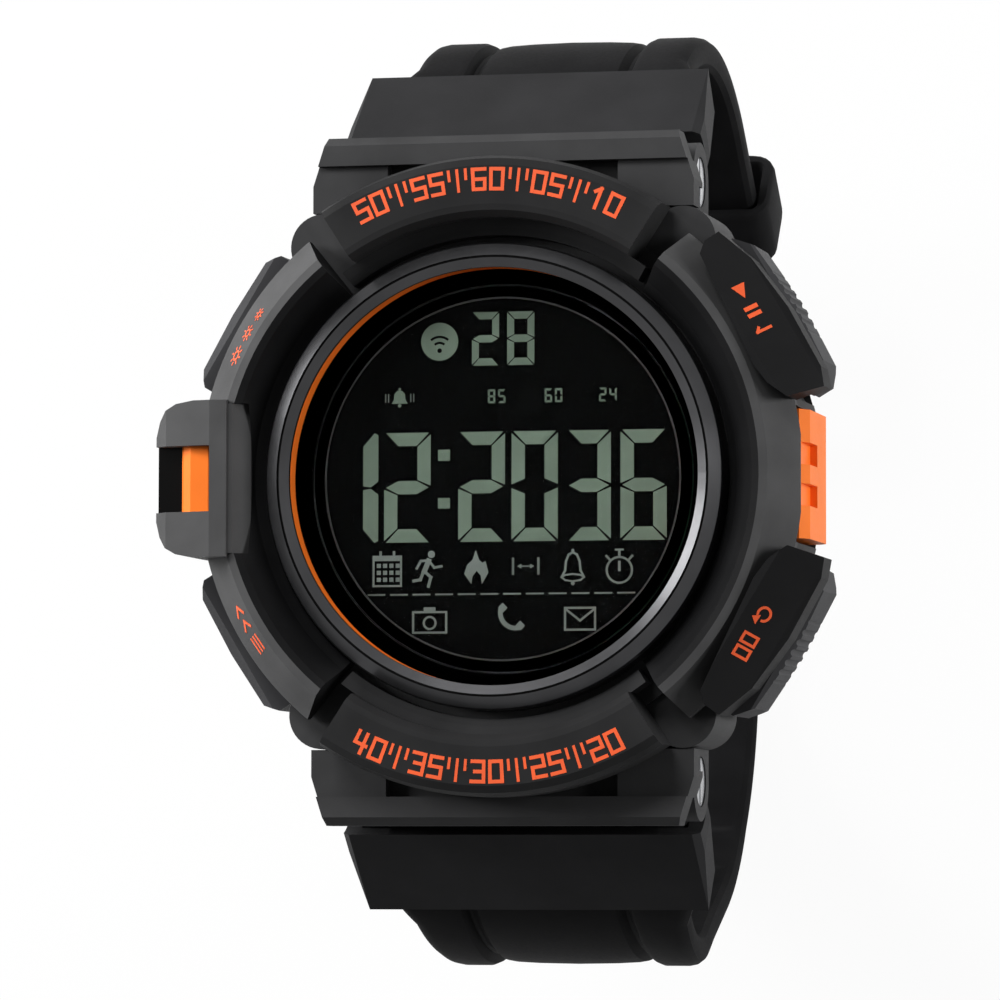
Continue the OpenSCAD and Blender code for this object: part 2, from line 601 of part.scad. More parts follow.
module strap_upper() color([0.07, 0.07, 0.07]) difference() {
    union() {
        strap_root();
        intersection() {
            union() {
                strap_start(upper_slope);
                run_straight(p2u, upper_slope, -lap, keeper_run + lap) polygon(section(-1));
                run_arc(c2u, buckle_bend_r, 90 - buckle_slope, 90 - upper_slope);
                bar(buckle_knuckle, p4u, -w, w, 64);
            }
            taper(p4u[1] + 3.5, p3u[1] - 0.3);
        }
    }
    bar(bar_r + 0.04, p0, -30, 30);
    bar(buckle_bar_r + 0.05, p4u, -30, 30);
    run_straight(p4u, buckle_slope, -3.5, 5) square([2 * (tongue_half + run), 8], center = true);
}

module strap_lower() color([0.07, 0.07, 0.07]) mirror([0, 1, 0]) difference() {
    union() {
        strap_root();
        intersection() {
            union() {
                strap_start(side_slope);
                run_straight(p2, side_slope, -lap, lower_run + lap) polygon(section(-1));
                run_arc(c2l, floor_bend_r, -90, 90 - side_slope);
                translate([0, p4l[0] + lap, p4l[1]]) rotate([90, 0, 0]) linear_extrude(height = tail_l + 1) polygon(section(-1));
            }
            lower_taper();
            translate([0, 0, -5]) linear_extrude(height = 100) polygon([[-20, 80], [-20, tail_end + 25],
                [-tail_half_w + 1, tail_end + 1.8], [-tail_half_w + 4, tail_end],
                [tail_half_w - 4, tail_end], [tail_half_w - 1, tail_end + 1.8],
                [20, tail_end + 25], [20, 80]]);
        }
    }
    bar(bar_r + 0.04, p0, -30, 30);
    for (i = [0:hole_count - 1]) translate([0, tail_end + first_hole + i * hole_pitch, -1]) cylinder(r = hole_r, h = 6, $fn = 32);
    for (i = [0:bend_holes - 1]) translate([0, c2l[0], c2l[1]])
        rotate([(tail_end + first_hole + (hole_count + i) * hole_pitch - p4l[0]) / floor_bend_r * 180 / PI, 0, 0])
            translate([0, 0, -floor_bend_r - 4]) cylinder(r = hole_r, h = 8, $fn = 32);
}
first_hole = 6.5;
bend_holes = 5;
tail_end = p4l[0] - tail_l;

module link() difference() {
    intersection() {
        translate([0, p0[0], p0[1]]) rotate([-root_slope, 0, 0]) linear_extrude(height = 30, center = true)
            polygon([[-link_half_w - 0.1, 0], [-link_half_w - 0.1, 5], [-link_half_w + 0.7, root_l], [link_half_w - 0.7, root_l],
                [link_half_w + 0.1, 5], [link_half_w + 0.1, 0]]);
        run_straight(p0, root_slope, 2, root_l - 1) polygon([[-link_half_w, h2], [link_half_w, h2],
            [link_half_w, -h2 - link_t + 0.6], [link_half_w - 0.6, -h2 - link_t],
            [-link_half_w + 0.6, -h2 - link_t], [-link_half_w, -h2 - link_t + 0.6]]);
    }
    run_straight(p0, root_slope, 0, root_l) square([2 * strap_half_w + 0.04, strap_t + 0.02], center = true);
    bar(link_s, p0, -30, 30, 96);
}
module upper_link() color([0.09, 0.09, 0.09]) link();
module lower_link() color([0.09, 0.09, 0.09]) mirror([0, 1, 0]) link();

keeper_gap = 0.12;
module strap_keeper() color([0.08, 0.08, 0.08])
    run_straight(p2u, upper_slope, keeper_s - keeper_w / 2, keeper_s + keeper_w / 2) difference() {
        keeper_loop(keeper_wall);
        keeper_loop(0);
    }
// The keeper also takes the end of the lower strap, so it is two straps deep
module keeper_loop(grow) translate([-keep_half - keeper_gap - grow, -h2 - strap_t - 3 * keeper_gap - grow])
    square([2 * (keep_half + keeper_gap + grow), 2 * strap_t + 4 * keeper_gap + 2 * grow]);

tongue_half = 1.1;
arm_in = strap_end_half_w + run;
arm_out = arm_in + buckle_arm_w;
cross_w = 2.4;
tongue_gap = 0.1;

// A profile of points (t, n) along the buckle, across X from x0 to x1
module buckle_slab(x0, x1, pts) translate([0, p4u[0], p4u[1]]) rotate([-buckle_slope, 0, 0]) across(x0, x1, pts);

module buckle_bar() color([0.7, 0.7, 0.72]) bar(buckle_bar_r, p4u, -arm_out + 0.3, arm_out - 0.3);

module buckle_frame() color([0.45, 0.45, 0.47]) difference() {
    union() {
        both_sides() bar(buckle_t / 2 + 0.7, p4u, arm_in, arm_out, 48);
        translate([0, p4u[0], p4u[1]]) rotate([-buckle_slope, 0, 0]) translate([0, 0, -buckle_t / 2])
            linear_extrude(height = buckle_t) difference() {
                polygon([[-arm_out + 0.05, 0.35], [-arm_out + 0.05, buckle_l - 1.5], [-arm_out + 1.5, buckle_l],
                    [arm_out - 1.5, buckle_l], [arm_out - 0.05, buckle_l - 1.5], [arm_out - 0.05, 0.35]]);
                translate([-arm_in - 0.05, -2]) square([2 * arm_in + 0.1, buckle_l - cross_w + 2]);
            }
    }
    bar(buckle_bar_r + 0.02, p4u, -30, 30);
}

module buckle_tongue() color([0.45, 0.45, 0.47]) difference() {
    union() {
        bar(1.75, p4u, -tongue_half, tongue_half, 48);
        buckle_slab(-tongue_half + 0.2, tongue_half - 0.2, [[0, 0.6], [buckle_l - cross_w - 0.3, 0.6],
            [buckle_l - cross_w - 0.3, buckle_t / 2 + tongue_gap], [buckle_l, buckle_t / 2 + tongue_gap],
            [buckle_l, buckle_t / 2 + 0.7], [buckle_l - cross_w, buckle_t / 2 + 0.9], [0, 1.75]]);
    }
    bar(buckle_bar_r + 0.05, p4u, -30, 30);
}

// Heads are drawn on +X and turned to their angle
module stem(head) difference() {
    spoke(stem_r, stem_end, head + 0.5, stem_h);
    rotate_x(eclip_out - eclip_t / 2) ring(2, stem_r - 0.2, -eclip_t / 2 - 0.03, eclip_t / 2 + 0.03);
}
module rotate_x(x) translate([x, 0, stem_h]) rotate([0, 90, 0]) children();
module button_clip(a) color([0.75, 0.75, 0.77]) at_case() rotate(a) rotate_x(eclip_out - eclip_t / 2)
    difference() {
        ring(eclip_r, stem_r - 0.17, -eclip_t / 2, eclip_t / 2);
        slab(-0.35, 0.35, -3, -0.3, -1, 1);
    }
rib_pitch = 0.95;
module ribbed_head() difference() {
    intersection() {
        across_y(-ribbed_half_l, ribbed_half_l, [[ribbed_in, head_low], [ribbed_r - 0.8, head_low], [ribbed_r, head_low + 1],
            [ribbed_r, head_high - 0.8], [ribbed_r - 0.6, head_high], [ribbed_in, head_high]]);
        linear_extrude(height = 20) polygon([[ribbed_in, -ribbed_half_l], [ribbed_r - 1.6, -ribbed_half_l], [ribbed_r - 0.4, -ribbed_half_l + 1.4],
            [ribbed_r, 0], [ribbed_r - 0.4, ribbed_half_l - 1.4], [ribbed_r - 1.6, ribbed_half_l], [ribbed_in, ribbed_half_l]]);
    }
    for (i = [-5:5]) translate([ribbed_r + 0.1, i * rib_pitch, 0]) cylinder(r = 0.35, h = 20, $fn = 20);
}
module plain_head() intersection() {
    across_y(-plain_half_l, plain_half_l, [[plain_in, head_low], [plain_r - 0.8, head_low], [plain_r, head_low + 1],
        [plain_r, head_high - 1.2], [plain_r - 1, head_high], [plain_in, head_high]]);
    linear_extrude(height = 20) polygon([[plain_in, -plain_half_l], [plain_r - 1.4, -plain_half_l], [plain_r - 0.3, -plain_half_l + 1.2],
        [plain_r, 0], [plain_r - 0.3, plain_half_l - 1.2], [plain_r - 1.4, plain_half_l], [plain_in, plain_half_l]]);
}
module select_head() difference() {
    across_y(-select_half_l, select_half_l, [[select_in, head_low], [select_r - 0.6, head_low], [select_r, head_low + 0.8],
        [select_r, flank_top], [select_r - 0.7, flank_top + 1.2], [select_in, flank_top + 1.2]]);
    for (i = [-1, 1]) slab(select_r - 0.6, 40, i * select_half_l * 0.32 - 0.9, i * select_half_l * 0.32 + 0.9, head_high - 2, 20);
}
module button(a, head) color([0.06, 0.06, 0.06]) at_case() rotate(a) { children(); stem(head); }
module start_button() button(button_angle, ribbed_in) ribbed_head();
module reset_button() button(-button_angle, ribbed_in) ribbed_head();
module select_button() color([1, 0.45, 0.12]) at_case() { select_head(); stem(select_in); }
module light_button() button(180 - button_angle, plain_in) plain_head();
module mode_button() button(180 + button_angle, plain_in) plain_head();
module start_clip() button_clip(button_angle);
module reset_clip() button_clip(-button_angle);
module select_clip() button_clip(0);
module light_clip() button_clip(180 - button_angle);
module mode_clip() button_clip(180 + button_angle);

case_body();
case_back();
case_back_gasket();
case_back_screws();
lens();
lens_gasket();
bezel_ring();
accent_ring();
dial_mask();
lcd_panel();
backlight_panel();
module_frame();
zebra_connectors();
circuit_board();
board_chips();
satellite_antenna();
battery();
battery_clip();
piezo_buzzer();
buzzer_spring();
button_switches();
button_seals();
left_guard();
right_guard();
upper_plate();
lower_plate();
start_cover();
reset_cover();
side_bracket();
bracket_inlay();
upper_lug_cover();
lower_lug_cover();
lug_bars();
lug_screws();
strap_upper();
strap_lower();
upper_link();
lower_link();
strap_keeper();
buckle_bar();
buckle_frame();
buckle_tongue();
start_button();
reset_button();
select_button();
light_button();
mode_button();
start_clip();
reset_clip();
select_clip();
light_clip();
mode_clip();
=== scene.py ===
import math

import bpy
import bmesh
from mathutils import Matrix, Vector


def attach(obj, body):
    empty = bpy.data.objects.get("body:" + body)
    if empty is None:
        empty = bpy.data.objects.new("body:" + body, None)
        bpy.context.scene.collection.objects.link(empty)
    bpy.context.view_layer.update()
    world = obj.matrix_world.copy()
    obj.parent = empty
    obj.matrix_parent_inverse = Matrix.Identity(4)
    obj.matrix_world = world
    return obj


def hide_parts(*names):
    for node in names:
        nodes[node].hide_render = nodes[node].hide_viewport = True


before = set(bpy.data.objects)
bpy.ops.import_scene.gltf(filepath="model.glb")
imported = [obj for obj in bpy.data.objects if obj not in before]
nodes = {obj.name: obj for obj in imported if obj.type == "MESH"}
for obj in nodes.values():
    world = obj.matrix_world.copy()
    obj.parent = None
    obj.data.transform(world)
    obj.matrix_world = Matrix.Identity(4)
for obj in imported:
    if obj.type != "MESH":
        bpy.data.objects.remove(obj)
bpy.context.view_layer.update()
MM = 0.001


# ---------------------------------------------------------------- materials
def shader(name):
    m = bpy.data.materials.new(name)
    m.use_nodes = True
    return m, m.node_tree, m.node_tree.nodes["Principled BSDF"]


def finish_mat(name, rgb, rough, grain=0.25, bump=0.12, vary=0.18, spec=0.5, metallic=0.0, coat=0.0,
               coat_rough=0.08, stretch=None, edge=0.0, depth=0.02):
    """A moulded, painted or brushed finish: mottled colour and roughness, with a grain in mm as bump, and
    with edge a painted highlight on convex edges.
    """
    m, nt, b = shader(name)
    b.inputs["Metallic"].default_value = metallic
    b.inputs["Specular IOR Level"].default_value = spec
    b.inputs["Coat Weight"].default_value = coat
    b.inputs["Coat Roughness"].default_value = coat_rough
    tc = nt.nodes.new("ShaderNodeTexCoord")
    mp = nt.nodes.new("ShaderNodeMapping")
    mp.inputs["Scale"].default_value = stretch or (1, 1, 1)
    nt.links.new(tc.outputs["Object"], mp.inputs["Vector"])
    big = nt.nodes.new("ShaderNodeTexNoise")
    big.inputs["Scale"].default_value = 170
    big.inputs["Detail"].default_value = 4
    nt.links.new(mp.outputs["Vector"], big.inputs["Vector"])
    ramp = nt.nodes.new("ShaderNodeValToRGB")
    ramp.color_ramp.elements[0].position = 0.3
    ramp.color_ramp.elements[1].position = 0.7
    ramp.color_ramp.elements[0].color = (*[c * (1 - vary) for c in rgb], 1)
    ramp.color_ramp.elements[1].color = (*[min(1, c * (1 + vary)) for c in rgb], 1)
    nt.links.new(big.outputs["Fac"], ramp.inputs["Fac"])
    colour = ramp.outputs["Color"]
    # Painted highlight: convex edges, found by pointiness, are mixed up to the share edge toward a lighter
    # colour
    if edge:
        geo = nt.nodes.new("ShaderNodeNewGeometry")
        edge_highlight_ramp = nt.nodes.new("ShaderNodeValToRGB")
        edge_highlight_ramp.color_ramp.elements[0].position = 0.52
        edge_highlight_ramp.color_ramp.elements[1].position = 0.62
        edge_highlight_ramp.color_ramp.elements[1].color = (edge, edge, edge, 1)
        nt.links.new(geo.outputs["Pointiness"], edge_highlight_ramp.inputs["Fac"])
        edge_highlight_mix = nt.nodes.new("ShaderNodeMix")
        edge_highlight_mix.data_type = "RGBA"
        edge_highlight_mix.inputs["B"].default_value = (*[min(1, c * 2 + 0.05) for c in rgb], 1)
        nt.links.new(edge_highlight_ramp.outputs["Color"], edge_highlight_mix.inputs["Factor"])
        nt.links.new(colour, edge_highlight_mix.inputs["A"])
        colour = edge_highlight_mix.outputs["Result"]
    nt.links.new(colour, b.inputs["Base Color"])
    fine = nt.nodes.new("ShaderNodeTexNoise")
    fine.inputs["Scale"].default_value = 1 / (grain * MM)
    fine.inputs["Detail"].default_value = 2
    nt.links.new(mp.outputs["Vector"], fine.inputs["Vector"])
    rr = nt.nodes.new("ShaderNodeMapRange")
    rr.inputs["To Min"].default_value = max(0.02, rough * 0.85)
    rr.inputs["To Max"].default_value = min(1, rough * 1.15)
    nt.links.new(fine.outputs["Fac"], rr.inputs["Value"])
    nt.links.new(rr.outputs["Result"], b.inputs["Roughness"])
    bp = nt.nodes.new("ShaderNodeBump")
    bp.inputs["Strength"].default_value = bump
    bp.inputs["Distance"].default_value = depth * MM
    nt.links.new(fine.outputs["Fac"], bp.inputs["Height"])
    nt.links.new(bp.outputs["Normal"], b.inputs["Normal"])
    return m


def glass_mat():
    m, nt, b = shader("lens_glass")
    b.inputs["Base Color"].default_value = (0.95, 0.97, 0.98, 1)
    b.inputs["Transmission Weight"].default_value = 1
    b.inputs["IOR"].default_value = 1.02
    b.inputs["Specular IOR Level"].default_value = 0.5
    tc = nt.nodes.new("ShaderNodeTexCoord")
    n = nt.nodes.new("ShaderNodeTexNoise")
    n.inputs["Scale"].default_value = 60
    nt.links.new(tc.outputs["Object"], n.inputs["Vector"])
    rr = nt.nodes.new("ShaderNodeMapRange")
    rr.inputs["To Min"].default_value = 0.0
    rr.inputs["To Max"].default_value = 0.02
    nt.links.new(n.outputs["Fac"], rr.inputs["Value"])
    nt.links.new(rr.outputs["Result"], b.inputs["Roughness"])
    return m


# edge sets each finish's painted highlight: a lighter colour on convex edges
M = {
    "case": finish_mat("case_plastic", (0.038, 0.038, 0.039), 0.5,
                       grain=0.22, bump=0.3, spec=0.03, edge=0.1),
    "guard": finish_mat("guard_plastic", (0.066, 0.066, 0.067), 0.5,
                        grain=0.22, bump=0.3, spec=0.04, edge=0.1),
    "black": finish_mat("black_plastic", (0.0078, 0.0078, 0.0082), 0.45,
                        grain=0.2, bump=0.25, spec=0.025, edge=0.1),
    "plate": finish_mat("plate_plastic", (0.019, 0.019, 0.0195), 0.45,
                        grain=0.2, bump=0.25, spec=0.03, edge=0.1),
    "pusher": finish_mat("pusher_plastic", (0.032, 0.032, 0.034), 0.5,
                         grain=0.2, bump=0.3, spec=0.05, edge=0.15),
    "bezel": finish_mat("bezel_metal", (0.04, 0.04, 0.042), 0.3,
                        grain=0.5, bump=0.02, metallic=0.9, coat=0.08),
    "orange": finish_mat("orange_plastic", (0.95, 0.2, 0.022), 0.45,
                         grain=0.25, bump=0.15, vary=0.06, spec=0.12),
    "paint": finish_mat("orange_paint", (0.78, 0.09, 0.012), 0.5, grain=0.15, bump=0.2, vary=0.12),
    "glass": glass_mat(),
    "lcd": finish_mat("display_dark", (0.0014, 0.0015, 0.0015), 0.3,
                      grain=0.4, bump=0.02, vary=0.1, spec=0.01),
    "segment": finish_mat("display_segment", (0.082, 0.107, 0.08), 0.5,
                          grain=0.3, bump=0.05, vary=0.06, spec=0.1),
    "icon": finish_mat("display_icon", (0.1, 0.112, 0.1), 0.5, grain=0.3, bump=0.05, vary=0.06, spec=0.1),
    "rim": finish_mat("display_edge", (0.02, 0.02, 0.02), 0.4, grain=0.3, bump=0.05, vary=0.06, spec=0.2),
    # The near-black gloss is the dial mask's own black print, and also the colour of painted shade in the
    # bezel groove and the bracket's slot
    "mask": finish_mat("gloss_mask_and_painted_shade", (0.002, 0.002, 0.002), 0.2, grain=0.5, bump=0.02, vary=0.1, spec=0.06),
    "steel": finish_mat("brushed_steel", (0.56, 0.57, 0.59), 0.28,
                        grain=0.12, bump=0.2, vary=0.06, metallic=1, stretch=(1, 18, 1)),
    "dark_steel": finish_mat("dark_steel", (0.1, 0.1, 0.11), 0.42,
                             grain=0.15, bump=0.15, vary=0.1, metallic=1, stretch=(14, 1, 1)),
    "bright": finish_mat("bright_steel", (0.7, 0.7, 0.7), 0.22,
                         grain=0.3, bump=0.05, vary=0.04, metallic=1),
    "brass": finish_mat("brass_sheet", (0.75, 0.55, 0.24), 0.3, grain=0.2, bump=0.1, vary=0.06, metallic=1),
    "seal": finish_mat("seal_rubber", (0.006, 0.006, 0.006), 0.7, grain=0.2, bump=0.3, spec=0.05),
    "zebra": finish_mat("zebra_rubber", (0.4, 0.24, 0.28), 0.6,
                        grain=0.15, bump=0.3, stretch=(12, 1, 1), vary=0.4),
    "white": finish_mat("white_plastic", (0.7, 0.7, 0.68), 0.5, grain=0.25, bump=0.15, vary=0.05),
    "board": finish_mat("solder_mask", (0.02, 0.13, 0.05), 0.35, grain=0.3, bump=0.1, vary=0.25),
    "chip": finish_mat("chip_plastic", (0.02, 0.02, 0.021), 0.6, grain=0.1, bump=0.2),
    "ceramic": finish_mat("antenna_ceramic", (0.62, 0.57, 0.45), 0.45, grain=0.2, bump=0.1, vary=0.08),
    "rubber": finish_mat("strap_rubber", (0.0095, 0.0095, 0.01), 0.55,
                         grain=0.28, bump=0.35, vary=0.2, spec=0.016, edge=0.1),
    "link": finish_mat("link_plastic", (0.018, 0.018, 0.019), 0.5,
                       grain=0.24, bump=0.3, spec=0.022, edge=0.1),
}
FINISH = {
    "case": "case_body upper_lug_cover lower_lug_cover",
    "guard": "left_guard right_guard side_bracket",
    "black": "start_cover reset_cover",
    "plate": "upper_plate lower_plate",
    "pusher": "start_button reset_button light_button mode_button",
    "bezel": "bezel_ring",
    "orange": "accent_ring bracket_inlay select_button",
    "glass": "lens",
    "lcd": "lcd_panel",
    "mask": "dial_mask",
    "steel": "case_back case_back_screws lug_bars lug_screws buckle_bar",
    "dark_steel": "buckle_frame buckle_tongue",
    "bright": "buzzer_spring battery start_clip reset_clip select_clip light_clip mode_clip",
    "brass": "battery_clip piezo_buzzer",
    "seal": "case_back_gasket lens_gasket button_seals",
    "zebra": "zebra_connectors",
    "white": "backlight_panel module_frame",
    "board": "circuit_board",
    "chip": "board_chips button_switches",
    "ceramic": "satellite_antenna",
    "rubber": "strap_upper strap_lower strap_keeper",
    "link": "upper_link lower_link",
}
# Width of each piece's softened edges in mm, and the least angle that counts as an edge
BEVEL = {
    0.12: "bezel_ring",
    0.15: "case_back lens bracket_inlay",
    0.2: "buckle_tongue",
    0.25: "left_guard right_guard start_button reset_button",
    0.3: "case_body upper_plate lower_plate",
    0.35: "side_bracket select_button buckle_frame",
    0.4: "light_button mode_button",
    0.45: "upper_lug_cover lower_lug_cover upper_link lower_link",
    0.6: "start_cover reset_cover",
}
BEVEL_ANGLE = math.radians(28)
for key, names in FINISH.items():
    for n in names.split():
        o = nodes[n]
        o.data.materials.clear()
        o.data.materials.append(M[key])
for w, names in BEVEL.items():
    for n in names.split():
        md = nodes[n].modifiers.new("edge", "BEVEL")
        md.width = w * MM
        md.segments = 3
        md.limit_method = "ANGLE"
        md.angle_limit = BEVEL_ANGLE
        md.harden_normals = False


# Height of the case back, and where shade is painted in near-black gloss: the groove in the bezel ring and
# the floor of the bracket's slot
CASE_Z = 60.0
SHADE_GROOVE_IN, SHADE_GROOVE_OUT, SHADE_GROOVE_Z = 17.9, 18.3, CASE_Z + 13.5
SHADE_SLOT_HALF, SHADE_SLOT_X, SHADE_SLOT_Z = 2.8, -25, CASE_Z + 12


def paint(name, mat, test):
    """A second material on the faces of a CAD piece that pass a test of their centre in mm and their normal;
    below, it also paints shade into recesses.
    """
    o = nodes[name]
    o.data.materials.append(mat)
    for p in o.data.polygons:
        if test(o.matrix_world @ p.center / MM, (o.matrix_world.to_3x3() @ p.normal).normalized()):
            p.material_index = 1


def inward(c, n):
    """Faces that don't look outward from the case's axis."""
    return (n.x * c.x + n.y * c.y) / math.hypot(c.x, c.y) < 0.2


for side in ("left_guard", "right_guard"):
    paint(side, M["black"], inward)
# Painted shade: the groove in the bezel ring is coloured near-black gloss
paint("bezel_ring", M["mask"],
      lambda c, n: SHADE_GROOVE_IN < math.hypot(c.x, c.y) < SHADE_GROOVE_OUT and c.z > SHADE_GROOVE_Z)
# Painted shade: the floor of the bracket's slot is coloured near-black, as the deep slot's shade
paint("side_bracket", M["mask"],
      lambda c, n: abs(c.y) < SHADE_SLOT_HALF and c.x < SHADE_SLOT_X and n.z > 0.9 and c.z > SHADE_SLOT_Z)


# ---------------------------------------------------------------- meshes of the scene's own
def new_piece(name, bm, mat, body, stands_for=(), smooth=0.6):
    """A mesh drawn in mm in the row frame, that moves with a CAD body."""
    bmesh.ops.recalc_face_normals(bm, faces=bm.faces)
    me = bpy.data.meshes.new(name)
    bmesh.ops.scale(bm, vec=(MM, MM, MM), verts=bm.verts)
    bm.to_mesh(me)
    bm.free()
    o = bpy.data.objects.new(name, me)
    bpy.context.scene.collection.objects.link(o)
    me.materials.append(mat)
    if smooth:
        for p in me.polygons:
            p.use_smooth = True
        me.set_sharp_from_angle(angle=smooth)
    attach(o, body)
    if stands_for:
        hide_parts(*stands_for)
    return o


def cut(o, tools, operation="DIFFERENCE"):
    """Apply a boolean with each tool, and drop the tools."""
    for t in tools:
        md = o.modifiers.new("cut", "BOOLEAN")
        md.operation = operation
        md.solver = "EXACT"
        md.object = t
        with bpy.context.temp_override(object=o, active_object=o, selected_objects=[o]):
            bpy.ops.object.modifier_apply(modifier=md.name)
        bpy.data.objects.remove(t)


def tool_rod(p0, p1, r, n=40):
    """A round tool between two points in mm."""
    a, b = Vector(p0), Vector(p1)
    bm = bmesh.new()
    bmesh.ops.create_cone(bm, cap_ends=True, segments=n, radius1=r, radius2=r, depth=(b - a).length)
    turn = (b - a).to_track_quat("Z", "Y").to_matrix().to_4x4()
    bmesh.ops.transform(bm, matrix=Matrix.Translation((a + b) / 2) @ turn, verts=bm.verts)
    return tool(bm)


def tool(bm):
    """A mesh drawn in mm as an object for cut()."""
    me = bpy.data.meshes.new("tool")
    bmesh.ops.recalc_face_normals(bm, faces=bm.faces)
    bmesh.ops.scale(bm, vec=(MM, MM, MM), verts=bm.verts)
    bm.to_mesh(me)
    bm.free()
    o = bpy.data.objects.new("tool", me)
    bpy.context.scene.collection.objects.link(o)
    return o


def loft(rows, closed=False):
    """A skin over rows of points, capped at both ends."""
    bm = bmesh.new()
    rings = [[bm.verts.new(p) for p in row] for row in rows]
    n = len(rows[0])
    for a, b in zip(rings, rings[1:] + ([rings[0]] if closed else [])):
        for i in range(n):
            bm.faces.new((a[i], a[(i + 1) % n], b[(i + 1) % n], b[i]))
    if not closed:
        bm.faces.new(rings[0])
        bm.faces.new(rings[-1])
    return bm


# ---------------------------------------------------------------- straps
# The lug bar's centre, the stretches of the straps (lengths, radii, slopes in degrees), and half their
# thickness and widths
BAR_Y, BAR_Z = 25.0, 63.9
ROOT_L, ROOT_SLOPE = 14.0, 50
SIDE_R, SIDE_SLOPE, UPPER_SLOPE = 22.0, 105, 130
KEEPER_RUN, BUCKLE_R, BUCKLE_SLOPE = 16.5, 12.0, 165
FLOOR_R, TAIL_L = 24.0, 15.6
HALF_T = 1.4
STRAP_W, MID_W, END_W, TAIL_W = 14.0, 12.0, 11.0, 9.0


def heading(a):
    """The direction at a degrees in the (y, z) plane."""
    return Vector((math.cos(math.radians(a)), math.sin(math.radians(a))))


class Path:
    """Straights and arcs in (y, z), followed from the lug bar outward and down."""

    def __init__(self, at, slope):
        self.at, self.slope, self.stretches, self.length = Vector(at), slope, [], 0.0

    def straight(self, length):
        self.stretches.append((self.length, length, self.at.copy(), self.slope, 0))
        self.at += length * heading(-self.slope)
        self.length += length
        return self

    def bend(self, r, slope):
        length = math.radians(slope - self.slope) * r
        centre = self.at + r * heading(-self.slope - 90)
        self.stretches.append((self.length, length, centre, self.slope, r))
        self.at = centre + r * heading(90 - slope)
        self.slope = slope
        self.length += length
        return self

    def __call__(self, s):
        """Point and outward normal at the distance s."""
        for s0, length, p, slope, r in self.stretches:
            if s <= s0 + length + 1e-9:
                break
        if r == 0:
            return p + (s - s0) * heading(-slope), heading(90 - slope)
        out = heading(90 - slope - math.degrees((s - s0) / r))
        return p + r * out, out


upper_path = Path((BAR_Y, BAR_Z), ROOT_SLOPE).straight(ROOT_L).bend(SIDE_R, UPPER_SLOPE)
upper_path.straight(KEEPER_RUN).bend(BUCKLE_R, BUCKLE_SLOPE)
lower_path = Path((BAR_Y, BAR_Z), ROOT_SLOPE).straight(ROOT_L).bend(SIDE_R, SIDE_SLOPE)
lower_path.straight((lower_path.at.y - HALF_T - FLOOR_R * (1 + math.cos(math.radians(SIDE_SLOPE))))
                    / math.sin(math.radians(SIDE_SLOPE))).bend(FLOOR_R, 180).straight(TAIL_L)


def ramp(x, x0, x1, y0, y1):
    """From y0 at x0 to y1 at x1, level outside."""
    t = min(1, max(0, (x - x0) / (x1 - x0)))
    return y0 + (y1 - y0) * t


def strap_section(w, relief):
    """Half of the strap's outline (x, n), from the inner face's middle round to the outer face's middle.

    The groove keeps its place where the strap narrows below it, so at the tip it stands outside the edge.
    """
    notch = 7.0
    pts = [(0, -HALF_T), (w - 1.6, -HALF_T), (w - 0.6, -HALF_T + 0.12), (w - 0.15, -HALF_T + 0.45),
           (w, -HALF_T + 0.95), (w, HALF_T - 0.95), (w - 0.15, HALF_T - 0.45), (w - 0.6, HALF_T - 0.12),
           (w - 1.2, HALF_T)]
    block = min(w - 1.3, notch + 0.9)
    return pts + [(block, HALF_T), (notch + 0.45, HALF_T - 0.18 * relief), (notch, HALF_T - 0.95 * relief),
                  (notch - 0.35, HALF_T - 0.95 * relief), (notch - 1.0, HALF_T - 0.42 * relief),
                  (notch - 1.7, HALF_T - 0.3 * relief), (3.4, HALF_T - 0.2 * relief),
                  (0, HALF_T - 0.14 * relief)]


def strap_rows(path, s0, s1, width, relief, n, side):
    """n + 1 cross-sections from s0 to s1 along the path, as rows of points in the row frame."""
    rows = []
    for i in range(n + 1):
        s = s0 + (s1 - s0) * i / n
        p, out = path(s)
        half = strap_section(width(s, p.y), relief(s))
        ring = half + [(-x, h) for x, h in half[-2:0:-1]]
        rows.append([(x, side * (p.x + h * out.x), p.y + h * out.y) for x, h in ring])
    return rows


def union_rods(o, rods):
    cut(o, [tool_rod(*r) for r in rods], "UNION")


def block_tool(path, s0, s1, x0, x1, n0, n1, side):
    """A block between two places on the path."""
    corners = (x0, n0), (x1, n0), (x1, n1), (x0, n1)
    rows = []
    for s in (s0, s1):
        p, out = path(max(0, s))
        rows.append([(x, side * (p.x + h * out.x), p.y + h * out.y) for x, h in corners])
    return tool(loft(rows))


# Half width at some heights z, downward. P1_Z is where the root ends
P1_Z = BAR_Z - ROOT_L * math.sin(math.radians(ROOT_SLOPE))
UPPER_TAPER = [(P1_Z + 1.6, STRAP_W), (P1_Z - 3, MID_W), (14.0, MID_W), (11.8, END_W)]
LOWER_TAPER = [(P1_Z + 1.6, STRAP_W), (P1_Z - 3, MID_W), (P1_Z - 24, TAIL_W + 1.2), (P1_Z - 36, TAIL_W + 0.4),
               (8, TAIL_W)]


def taper(table, z):
    """Half width at the height z, from a table that runs downward."""
    if z >= table[0][0]:
        return table[0][1]
    for (z0, w0), (z1, w1) in zip(table, table[1:]):
        if z >= z1:
            return ramp(z, z1, z0, w1, w0)
    return table[-1][1]


# The rubber starts at RUBBER_S, a block joins it to the eye round the lug bar, and rods round off its ends
RUBBER_S, STRAP_STEPS, TIP_R = 4.1, 150, 3.2
BLOCK_S, BLOCK_HALF, EYE_HALF, EYE_R, EYE_BORE = (0.8, 4.6), 11.6, 11.7, 2.48, 1.24
BUCKLE_EYE_R, BUCKLE_BORE, TONGUE_L, TONGUE_HALF = 1.98, 0.95, 3.4, 1.4


